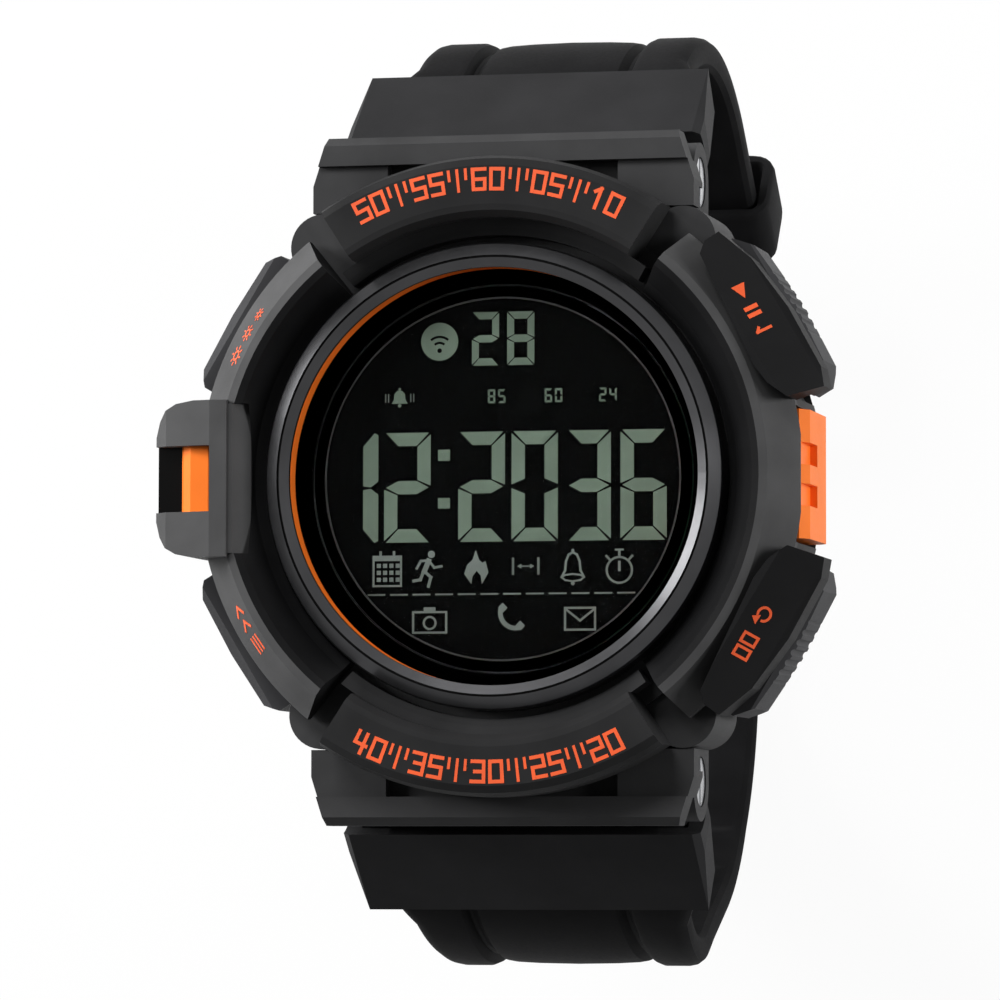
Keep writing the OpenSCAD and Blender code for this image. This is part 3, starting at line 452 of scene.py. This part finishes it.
def make_strap(name, path, side, table, body):
    end = path.length
    tip = name == "strap_lower_rubber"

    def width(s, z):
        w = taper(table, z) - 0.03
        d = end - s
        if tip and d < TIP_R:
            w -= TIP_R * (1 - math.sqrt(max(0, 1 - (1 - d / TIP_R) ** 2))) * 0.95
        return w

    def relief(s):
        """How deep the groove is, from 0 to 1."""
        fade = ramp(s, end - 34, end - 30, 1, 0) if tip else ramp(s, ROOT_L + 17, ROOT_L + 20, 1, 0)
        return min(ramp(s, 9.5, 12.5, 0, 1), fade)

    rows = strap_rows(path, RUBBER_S, end - (0.02 if tip else 0.2), width, relief, STRAP_STEPS, side)
    o = new_piece(name, loft(rows), M["rubber"], body, (name.rsplit("_", 1)[0],), smooth=0.5)
    bar = (side * BAR_Y, BAR_Z)
    block = block_tool(path, *BLOCK_S, -BLOCK_HALF, BLOCK_HALF, -HALF_T + 0.03, HALF_T - 0.03, side)
    cut(o, [block], "UNION")
    union_rods(o, [((-EYE_HALF, *bar), (EYE_HALF, *bar), EYE_R, 64)])
    if not tip:
        e = (side * path.at.x, path.at.y)
        union_rods(o, [((-END_W, *e), (END_W, *e), BUCKLE_EYE_R, 56)])
        cut(o, [block_tool(path, end - TONGUE_L, end, -TONGUE_HALF, TONGUE_HALF, -4, 4, side), block_rod(e)])
        cut(o, [tool_rod((-20, *e), (20, *e), BUCKLE_BORE)])
    cut(o, [tool_rod((-20, *bar), (20, *bar), EYE_BORE)])
    return o


def block_rod(e):
    """Room for the tongue's eye round the buckle bar."""
    bm = bmesh.new()
    bmesh.ops.create_cone(bm, cap_ends=True, segments=48, radius1=2.6, radius2=2.6, depth=2 * TONGUE_HALF)
    turn = Matrix.Rotation(math.pi / 2, 4, "Y")
    bmesh.ops.transform(bm, matrix=Matrix.Translation((0, *e)) @ turn, verts=bm.verts)
    return tool(bm)


FIRST_HOLE, HOLE_PITCH, HOLE_R, HOLES = 6.5, 5.0, 1.1, 8
make_strap("strap_upper_rubber", upper_path, 1, UPPER_TAPER, "upper_strap")
lower = make_strap("strap_lower_rubber", lower_path, -1, LOWER_TAPER, "lower_strap")
for i in range(HOLES):
    q, out = lower_path(lower_path.length - FIRST_HOLE - i * HOLE_PITCH)
    a, b = q - 4 * out, q + 4 * out
    cut(lower, [tool_rod((0, -a.x, a.y), (0, -b.x, b.y), HOLE_R, 32)])


# ---------------------------------------------------------------- keeper
def rounded_loop(x, n0, n1, r, steps=5):
    """A rounded rectangle (x, n), anticlockwise."""
    pts = []
    for cx, cn, a in ((x - r, n1 - r, 0), (r - x, n1 - r, 90), (r - x, n0 + r, 180), (x - r, n0 + r, 270)):
        for k in range(steps + 1):
            t = math.radians(a + 90 * k / steps)
            pts.append((cx + r * math.cos(t), cn + r * math.sin(t)))
    return pts


KEEPER_S, KEEPER_W, KEEPER_WALL, KEEPER_GAP = 11.0, 6.5, 1.1, 0.12
straight_s = ROOT_L + math.radians(UPPER_SLOPE - ROOT_SLOPE) * SIDE_R
x_in, n_in, n_out = MID_W + KEEPER_GAP, -HALF_T - KEEPER_GAP, 3 * HALF_T + 3 * KEEPER_GAP
# Rows of the keeper's skin: place in widths from its middle, swelling in mm, corner radius
KEEPER_OUTSIDE = ((-0.5, -0.98, 2.2), (-0.465, -0.3, 2.0), (-0.38, 0, 1.9),
                  (0.38, 0, 1.9), (0.465, -0.3, 2.0), (0.5, -0.98, 2.2))
KEEPER_INSIDE = ((0.485, 0.12, 0.7), (0.44, 0, 0.6), (-0.44, 0, 0.6), (-0.485, 0.12, 0.7))


def keeper_ring(s, grow, r):
    """One closed row of the keeper, grow mm outside its bore."""
    p, out = upper_path(straight_s + KEEPER_S + s * KEEPER_W)
    outline = rounded_loop(x_in + grow, n_in - grow, n_out + grow, r)
    return [(x, p.x + n * out.x, p.y + n * out.y) for x, n in outline]


rows = [keeper_ring(s, KEEPER_WALL + 0.3 * grow, r) for s, grow, r in KEEPER_OUTSIDE]
rows += [keeper_ring(s, grow, r) for s, grow, r in KEEPER_INSIDE]
new_piece("keeper_rubber", loft(rows, closed=True), M["rubber"], "keeper", ("strap_keeper",),
          smooth=0.6)


# ---------------------------------------------------------------- flat marks
def rect(x0, y0, x1, y1):
    return [(x0, y0), (x1, y0), (x1, y1), (x0, y1)]


def line(a, b, w):
    """A stroke of width w between two points, as one polygon."""
    d = Vector((b[0] - a[0], b[1] - a[1]))
    d.normalize()
    e, n = d * w / 2, Vector((-d.y, d.x)) * w / 2
    a, b = Vector(a) - e, Vector(b) + e
    return [tuple(a - n), tuple(b - n), tuple(b + n), tuple(a + n)]


def strokes(points, w):
    return [line(a, b, w) for a, b in zip(points, points[1:])]


def dot(x, y, r, n=24):
    return [(x + r * math.cos(2 * math.pi * k / n), y + r * math.sin(2 * math.pi * k / n)) for k in range(n)]


def hoop(x, y, r, w, a0=0, a1=360, n=28):
    """A ring, or a part of one, as a row of polygons."""
    def at(q, a):
        return (x + q * math.cos(a), y + q * math.sin(a))

    out = []
    for k in range(n):
        t, u = math.radians(a0 + (a1 - a0) * k / n), math.radians(a0 + (a1 - a0) * (k + 1) / n)
        out.append([at(r, t), at(r + w, t), at(r + w, u), at(r, u)])
    return out


def moved(polys, x=0.0, y=0.0, k=1.0):
    """Polygons scaled by k, then moved."""
    return [[(x + k * a, y + k * b) for a, b in p] for p in polys]


def marks(name, polys, place, mat, t0=-0.015, t1=0.02, body="case"):
    """Thin raised marks. place turns (u, v, t) into a point in mm, with t along the surface's normal.

    The tops of polygons that overlap differ by a hair, so that they don't fight.
    """
    bm = bmesh.new()
    for k, p in enumerate(polys):
        area2 = sum(a[0] * b[1] - b[0] * a[1] for a, b in zip(p, p[1:] + p[:1]))
        p = p if area2 > 0 else p[::-1]
        low = [bm.verts.new(place(u, v, t0)) for u, v in p]
        top = [bm.verts.new(place(u, v, t1 + 0.0015 * (k % 7))) for u, v in p]
        bm.faces.new(low[::-1])
        bm.faces.new(top)
        for i in range(len(p)):
            j = (i + 1) % len(p)
            bm.faces.new((low[i], low[j], top[j], top[i]))
    return new_piece(name, bm, mat, body, smooth=0)


# Which bars of a seven-bar digit are lit: top, upper left, upper right, middle, lower left, lower right
# and bottom. A 1 has a shape of its own
LIT = {"0": "1110111", "2": "1011101", "3": "1011011", "4": "0111010", "5": "1101011", "6": "1101111",
       "8": "1111111"}


def digit(ch, x0, x1, y0, y1, wv, wh, gap):
    """The lit bars of a seven-bar digit between x0 and x1, y0 and y1, with mitred ends."""
    ym, g = (y0 + y1) / 2, gap
    if ch == "1":
        return [[(x0, ym + k * g), (x0 + wv / 2, ym + k * g * 0.4), (x1, ym + k * wh / 2), (x1, y - k * g),
                 (x1 - wv * 0.25, y), (x0, y - k * wh)] for k, y in ((1, y1), (-1, y0))]
    left, right = x0 + wv - g / 2, x1 - wv + g / 2
    above, below = ym + wh / 2 + g / 2, ym - wh / 2 - g / 2
    bars = [
        [(x0 + g, y1), (x1 - g, y1), (x1 - wv, y1 - wh), (x0 + wv, y1 - wh)],
        [(x0, y1 - g), (left, y1 - wh - g / 2), (left, above), (x0, ym + g)],
        [(x1, y1 - g), (x1, ym + g), (right, above), (right, y1 - wh - g / 2)],
        [(x0 + g, ym), (x0 + wv, ym + wh / 2), (x1 - wv, ym + wh / 2), (x1 - g, ym), (x1 - wv, ym - wh / 2),
         (x0 + wv, ym - wh / 2)],
        [(x0, y0 + g), (x0, ym - g), (left, below), (left, y0 + wh + g / 2)],
        [(x1, y0 + g), (right, y0 + wh + g / 2), (right, below), (x1, ym - g)],
        [(x0 + g, y0), (x0 + wv, y0 + wh), (x1 - wv, y0 + wh), (x1 - g, y0)],
    ]
    return [b for b, lit in zip(bars, LIT[ch]) if lit == "1"]


# ---------------------------------------------------------------- what the display shows
LCD_Z, MASK_Z = 69.7, 70.0


def on_display(u, v, t):
    return (u, v, LCD_Z + t)


DIGIT_TOP, DIGIT_LOW = 3.94, -5.19
time_bars = digit("1", -11.9, -10.62, DIGIT_LOW, DIGIT_TOP, 1.28, 1.1, 0.16)
TIME_DIGITS = (("2", -10.1, -6.14), ("2", -3.77, 0.19), ("0", 0.76, 4.67),
               ("3", 5.47, 9.15), ("6", 9.97, 13.85))
for ch, x0, x1 in TIME_DIGITS:
    time_bars += digit(ch, x0, x1, DIGIT_LOW, DIGIT_TOP, 1.2, 1.1, 0.16)
time_bars += [rect(-5.5, 1.57, -4.49, 2.49), rect(-5.5, -2.4, -4.49, -1.53)]
marks("display_time", time_bars, on_display, M["segment"])

date_bars = []
for ch, x0 in (("2", -2.63), ("8", 0.37)):
    date_bars += digit(ch, x0, x0 + 2.3, 9.45, 13.9, 0.62, 0.6, 0.09)
for text, x0, x1 in (("85", -2.31, 1.27), ("60", 2.93, 5.69), ("24", 7.84, 9.97)):
    w = 0.62
    for k, ch in enumerate(text):
        xs = (x0 + x1) / 2 + (k - 1) * (w + 0.25) + 0.12
        date_bars += digit(ch, xs, xs + w, 6.3, 7.45, 0.17, 0.17, 0.03)
BADGE_X, BADGE_Y, WAVE_Y = -5.39, 11.5, 10.75
date_bars += [dot(BADGE_X, BADGE_Y, 1.58, 40)]
badge = [dot(BADGE_X, WAVE_Y, 0.2, 16)] + hoop(BADGE_X, WAVE_Y, 0.55, 0.2, 50, 130, 10)
badge += hoop(BADGE_X, WAVE_Y, 1.05, 0.2, 50, 130, 12)
marks("display_badge", badge, on_display, M["lcd"], t0=0.02, t1=0.04)


def bell(x, y, k):
    """A filled bell with its clapper and knob."""
    cup = [(-0.62, -0.42), (0.62, -0.42), (0.44, -0.12), (0.4, 0.3), (0.22, 0.52), (0, 0.6), (-0.22, 0.52),
           (-0.4, 0.3), (-0.44, -0.12)]
    return moved([cup, dot(0, -0.58, 0.13, 12), dot(0, 0.68, 0.1, 12)], x, y, k)


def framed(x0, y0, x1, y1, w):
    return strokes([(x0, y0), (x1, y0), (x1, y1), (x0, y1), (x0, y0)], w)


def turned(polys, degrees):
    """Polygons turned about the origin."""
    c, s = math.cos(math.radians(degrees)), math.sin(math.radians(degrees))
    return [[(a * c - b * s, a * s + b * c) for a, b in p] for p in polys]


ALARM_X = -8.8
date_bars += bell(ALARM_X, 6.85, 1.1)
marks("display_date", date_bars, on_display, M["segment"])

calendar = framed(-11.0, -8.8, -8.65, -6.35, 0.16) + [rect(-11.08, -6.72, -8.57, -6.28)]
calendar += [rect(-10.5, -6.3, -10.3, -5.9), rect(-9.35, -6.3, -9.15, -5.9)]
calendar += [rect(-10.72 + i * 0.54, -8.45 + j * 0.58, -10.38 + i * 0.54, -8.1 + j * 0.58)
             for i in range(4) for j in range(3)]
runner = [dot(-6.05, -6.2, 0.3, 16)] + strokes([(-6.3, -6.75), (-6.65, -7.6)], 0.42)
runner += strokes([(-7.3, -7.35), (-6.95, -6.75), (-6.3, -6.7), (-5.8, -7.3), (-5.2, -7.2)], 0.2)
runner += strokes([(-6.6, -7.65), (-6.1, -8.1), (-6.3, -8.85)], 0.24)
runner += strokes([(-6.75, -7.7), (-7.0, -8.3), (-7.55, -8.4)], 0.24)
flame = [[(-2.28, -5.9), (-1.99, -6.7), (-1.7, -6.95), (-1.45, -6.8), (-1.2, -7.75), (-1.75, -8.7),
          (-1.85, -8.0), (-2.2, -7.6), (-2.55, -8.05), (-2.65, -8.7), (-3.25, -7.85), (-3.0, -7.1),
          (-2.55, -6.7)]]
distance = [rect(0.8, -7.97, 0.98, -6.55), rect(2.95, -7.97, 3.13, -6.55), rect(1.5, -7.31, 2.43, -7.21),
            [(1.25, -7.26), (1.6, -7.46), (1.6, -7.06)], [(2.68, -7.26), (2.33, -7.06), (2.33, -7.46)]]
open_bell = strokes([(5.0, -8.2), (5.3, -7.65), (5.37, -6.9), (5.6, -6.35), (5.95, -6.15), (6.3, -6.35),
                     (6.53, -6.9), (6.6, -7.65), (6.9, -8.2)], 0.17)
open_bell += strokes([(6.9, -8.2), (6.6, -8.45), (5.95, -8.55), (5.3, -8.45), (5.0, -8.2), (5.3, -8.03),
                      (5.95, -7.95), (6.6, -8.03), (6.9, -8.2)], 0.14)
open_bell += [dot(5.95, -8.72, 0.16, 12), dot(5.95, -6.0, 0.13, 12)]
alarm_bars = [rect(ALARM_X + q - 0.04, 6.5, ALARM_X + q + 0.04, 7.2) for q in (-1.2, -0.95, 0.95, 1.2)]
stopwatch = hoop(9.87, -7.65, 0.98, 0.17) + [rect(9.77, -6.5, 9.97, -5.95), rect(9.5, -6.05, 10.24, -5.9)]
stopwatch += strokes([(9.87, -7.65), (9.87, -7.0)], 0.2) + strokes([(10.72, -6.75), (10.95, -6.5)], 0.18)
stopwatch += strokes([(9.02, -6.75), (8.79, -6.5)], 0.18)
dashes = [rect(x, -9.6, x + 1.5, -9.47) for x in (-11.5 + i * 23.13 / 12 for i in range(12))]
photo_sign = framed(-7.6, -12.7, -4.78, -11.0, 0.17) + hoop(-6.19, -11.9, 0.42, 0.17, n=18)
photo_sign += [rect(-6.7, -10.95, -5.7, -10.6)]
handset = hoop(0, 0, 1.15, 0.4, 208, 332, 12)
handset += [rect(-1.42, -0.78, -0.8, -0.2), rect(0.8, -0.78, 1.42, -0.2)]
letter = framed(5.3, -12.55, 7.83, -10.75, 0.17)
letter += strokes([(5.35, -10.85), (6.56, -11.8), (7.78, -10.85)], 0.17)
icons = (calendar + runner + flame + distance + open_bell + alarm_bars + stopwatch + dashes + photo_sign
         + moved(turned(handset, -45), 1.1, -11.1, 0.95) + letter)
marks("display_icons", icons, on_display, M["icon"], t1=0.015)


def on_mask(u, v, t):
    return (u, v, MASK_Z + t)


marks("display_rim", hoop(0, 0, 14.98, 0.14, n=120), on_mask, M["rim"], t1=0.02)


# ---------------------------------------------------------------- minute scales and button marks
PLATE_Z, SCALE_R, SCALE_H = 75.4, 24.35, 1.95
GLYPH = {
    "0": [[(0, 0), (0.6, 0), (0.6, 1), (0, 1), (0, 0)]],
    "1": [[(0.1, 0.78), (0.34, 1), (0.34, 0)]],
    "2": [[(0, 1), (0.6, 1), (0.6, 0.5), (0, 0.5), (0, 0), (0.6, 0)]],
    "3": [[(0, 1), (0.6, 1), (0.6, 0), (0, 0)], [(0.15, 0.5), (0.6, 0.5)]],
    "4": [[(0, 1), (0, 0.42), (0.6, 0.42)], [(0.45, 1), (0.45, 0)]],
    "5": [[(0.6, 1), (0, 1), (0, 0.52), (0.6, 0.52), (0.6, 0), (0, 0)]],
    "6": [[(0.6, 1), (0, 1), (0, 0), (0.6, 0), (0.6, 0.5), (0, 0.5)]],
}


def number(text, h, w=0.3):
    """A number drawn in strokes, centred on the origin."""
    out = []
    for k, ch in enumerate(text):
        x = (k - (len(text) - 1) / 2) * 0.92
        for run in GLYPH[ch]:
            out += strokes([((a - 0.3 + x) * h, (b - 0.5) * h) for a, b in run], w)
    return out


def on_plate(side):
    """Round the plate, with the tops outward on the upper plate (side 1) and inward on the lower one."""
    def place(u, v, t):
        r = SCALE_R + side * v
        a = u / SCALE_R
        return (r * math.sin(a), side * r * math.cos(a), PLATE_Z + t)
    return place


for name, side, values in (("upper_scale", 1, "50 55 60 05 10"), ("lower_scale", -1, "40 35 30 25 20")):
    shapes = []
    for k, text in enumerate(values.split()):
        u = math.radians(-24 + 12 * k) * SCALE_R
        shapes += moved(number(text, SCALE_H - 0.3), u, 0)
    for k in range(4):
        u = math.radians(-18 + 12 * k) * SCALE_R
        for q, foot in ((-0.7, 0), (0, -SCALE_H / 2), (0.7, 0)):
            shapes.append(rect(u + q - 0.12, foot, u + q + 0.12, SCALE_H / 2))
    marks(name, shapes, on_plate(side), M["paint"])


def on_slope(angle, r, h, slope, flat=True):
    """On a face that falls outward by slope degrees from (r, h); u runs round the case, v up the slope."""
    c, k = math.cos(math.radians(slope)), math.sin(math.radians(slope))

    def place(u, v, t):
        rr, z = r - v * c + t * k, CASE_Z + h + v * k + t * c
        a = math.radians(angle)
        if flat:
            return (rr * math.cos(a) + u * math.sin(a), rr * math.sin(a) - u * math.cos(a), z)
        a -= u / r
        return (rr * math.cos(a), rr * math.sin(a), z)
    return place


PLAY = [[(-0.55, -0.6), (0.6, 0), (-0.55, 0.6)]]
PAUSE = [rect(-0.45, -0.6, -0.12, 0.6), rect(0.12, -0.6, 0.45, 0.6)]
TURN = hoop(0, 0, 0.42, 0.2, 60, 360, 20) + [[(0.15, 0.2), (0.95, 0.25), (0.5, 0.8)]]
LAMP = hoop(0, 0, 0.24, 0.15, n=16)
for k in range(8):
    c, s = math.cos(k * math.pi / 4), math.sin(k * math.pi / 4)
    LAMP.append(line((0.52 * c, 0.52 * s), (0.66 * c, 0.66 * s), 0.13))
MENU = [rect(-0.6, y - 0.09, 0.6, y + 0.09) for y in (-0.42, 0, 0.42)]
NEXT = strokes([(-0.3, 0.5), (0.25, 0), (-0.3, -0.5)], 0.2)
# Radius, height over the case back and slope of the faces that the marks lie on
COVER_FACE, GUARD_FACE = (25.6, 14.06, 34.9), (24.15, 13.56, 52.4)
start_shapes = moved(PLAY, -1.7) + moved(PAUSE, 0) + moved(number("1", 1.2, 0.22), 1.6)
reset_shapes = moved(TURN, -1.6) + moved(number("00", 1.2, 0.22), 1.1)
light_shapes = moved(LAMP, -2, k=1.25) + moved(LAMP, 0.1, k=1.05) + moved(LAMP, 1.9, k=0.85)
mode_shapes = moved(MENU, -1.9, k=1.3) + moved(NEXT, 0, k=1.25) + moved(NEXT, 1.3, k=1.25)
for name, shapes, angle in (("start_mark", start_shapes, 31), ("reset_mark", reset_shapes, -31)):
    marks(name, moved(shapes, 0, 0.1, 1.1), on_slope(angle, *COVER_FACE), M["paint"],
          t1=0.03)
for name, shapes, angle in (("light_mark", light_shapes, 150), ("mode_mark", mode_shapes, 210)):
    marks(name, shapes, on_slope(angle, *GUARD_FACE, flat=False), M["paint"],
          t0=-0.05, t1=0.03)


# ---------------------------------------------------------------- lights, floor, camera
WATCH_CENTRE = (0, 0, 0.06)


def area(name, loc, size, power):
    """A white rectangular lamp that looks at the watch. Places and sizes are in metres, power is in watts."""
    d = bpy.data.lights.new(name, "AREA")
    d.shape = "RECTANGLE"
    d.size, d.size_y = size
    d.energy = power
    o = bpy.data.objects.new(name, d)
    bpy.context.scene.collection.objects.link(o)
    o.location = loc
    o.rotation_euler = (Vector(WATCH_CENTRE) - Vector(loc)).to_track_quat("-Z", "Y").to_euler()


area("key_left", (-0.8, 0.28, 0.44), (0.35, 0.6), 11)
area("fill_right", (0.85, 0.1, 0.25), (0.3, 0.5), 5)
area("top_soft", (-0.25, 0.65, 0.75), (0.5, 0.3), 6)

# Half the floor's side in metres, how much of it the camera sees as plain white, and the world's own light
FLOOR_HALF, FLOOR_GLOW, AMBIENT = 2.5, 0.95, 0.1
# The photograph's viewing angle: lens in mm, place in metres, turn in degrees
LENS, CAMERA_AT, CAMERA_TURN = 218.07, (0.1111, -0.0342, 0.5579), (3.73, 12.84, 0.1)


def make_floor():
    """A pale floor that keeps the shadow, and is nearly white to the camera."""
    floor_me = bpy.data.meshes.new("floor")
    bm = bmesh.new()
    bmesh.ops.create_grid(bm, x_segments=8, y_segments=8, size=FLOOR_HALF)
    bm.to_mesh(floor_me)
    bm.free()
    floor = bpy.data.objects.new("floor", floor_me)
    bpy.context.scene.collection.objects.link(floor)
    fm, nt, b = shader("floor_pale")
    b.inputs["Base Color"].default_value = (0.8, 0.8, 0.8, 1)
    b.inputs["Roughness"].default_value = 0.9
    out = nt.nodes["Material Output"]
    lp = nt.nodes.new("ShaderNodeLightPath")
    em = nt.nodes.new("ShaderNodeEmission")
    em.inputs["Strength"].default_value = 1.0
    mx = nt.nodes.new("ShaderNodeMixShader")
    mul = nt.nodes.new("ShaderNodeMath")
    mul.operation = "MULTIPLY"
    mul.inputs[1].default_value = FLOOR_GLOW
    nt.links.new(lp.outputs["Is Camera Ray"], mul.inputs[0])
    nt.links.new(mul.outputs[0], mx.inputs["Fac"])
    nt.links.new(b.outputs["BSDF"], mx.inputs[1])
    nt.links.new(em.outputs["Emission"], mx.inputs[2])
    nt.links.new(mx.outputs["Shader"], out.inputs["Surface"])
    floor.data.materials.append(fm)


def make_world():
    """Weak light all round, and plain white to the camera and in reflections and glass."""
    world = bpy.data.worlds.new("studio")
    bpy.context.scene.world = world
    world.use_nodes = True
    nt = world.node_tree
    bg = nt.nodes["Background"]
    bg.inputs["Color"].default_value = (1, 1, 1, 1)
    lp = nt.nodes.new("ShaderNodeLightPath")
    a1 = nt.nodes.new("ShaderNodeMath")
    a1.operation = "MAXIMUM"
    a2 = nt.nodes.new("ShaderNodeMath")
    a2.operation = "MAXIMUM"
    rng = nt.nodes.new("ShaderNodeMapRange")
    rng.inputs["To Min"].default_value = AMBIENT
    rng.inputs["To Max"].default_value = 1.0
    nt.links.new(lp.outputs["Is Camera Ray"], a1.inputs[0])
    nt.links.new(lp.outputs["Is Glossy Ray"], a1.inputs[1])
    nt.links.new(a1.outputs[0], a2.inputs[0])
    nt.links.new(lp.outputs["Is Transmission Ray"], a2.inputs[1])
    nt.links.new(a2.outputs[0], rng.inputs["Value"])
    nt.links.new(rng.outputs["Result"], bg.inputs["Strength"])


def make_camera():
    cd = bpy.data.cameras.new("camera")
    cam = bpy.data.objects.new("camera", cd)
    bpy.context.scene.collection.objects.link(cam)
    bpy.context.scene.camera = cam
    cd.sensor_width = 36
    cd.lens = LENS
    cd.clip_end = 10
    cam.location = CAMERA_AT
    cam.rotation_euler = [math.radians(a) for a in CAMERA_TURN]


make_floor()
make_world()
make_camera()
bpy.context.scene.view_settings.view_transform = "Standard"
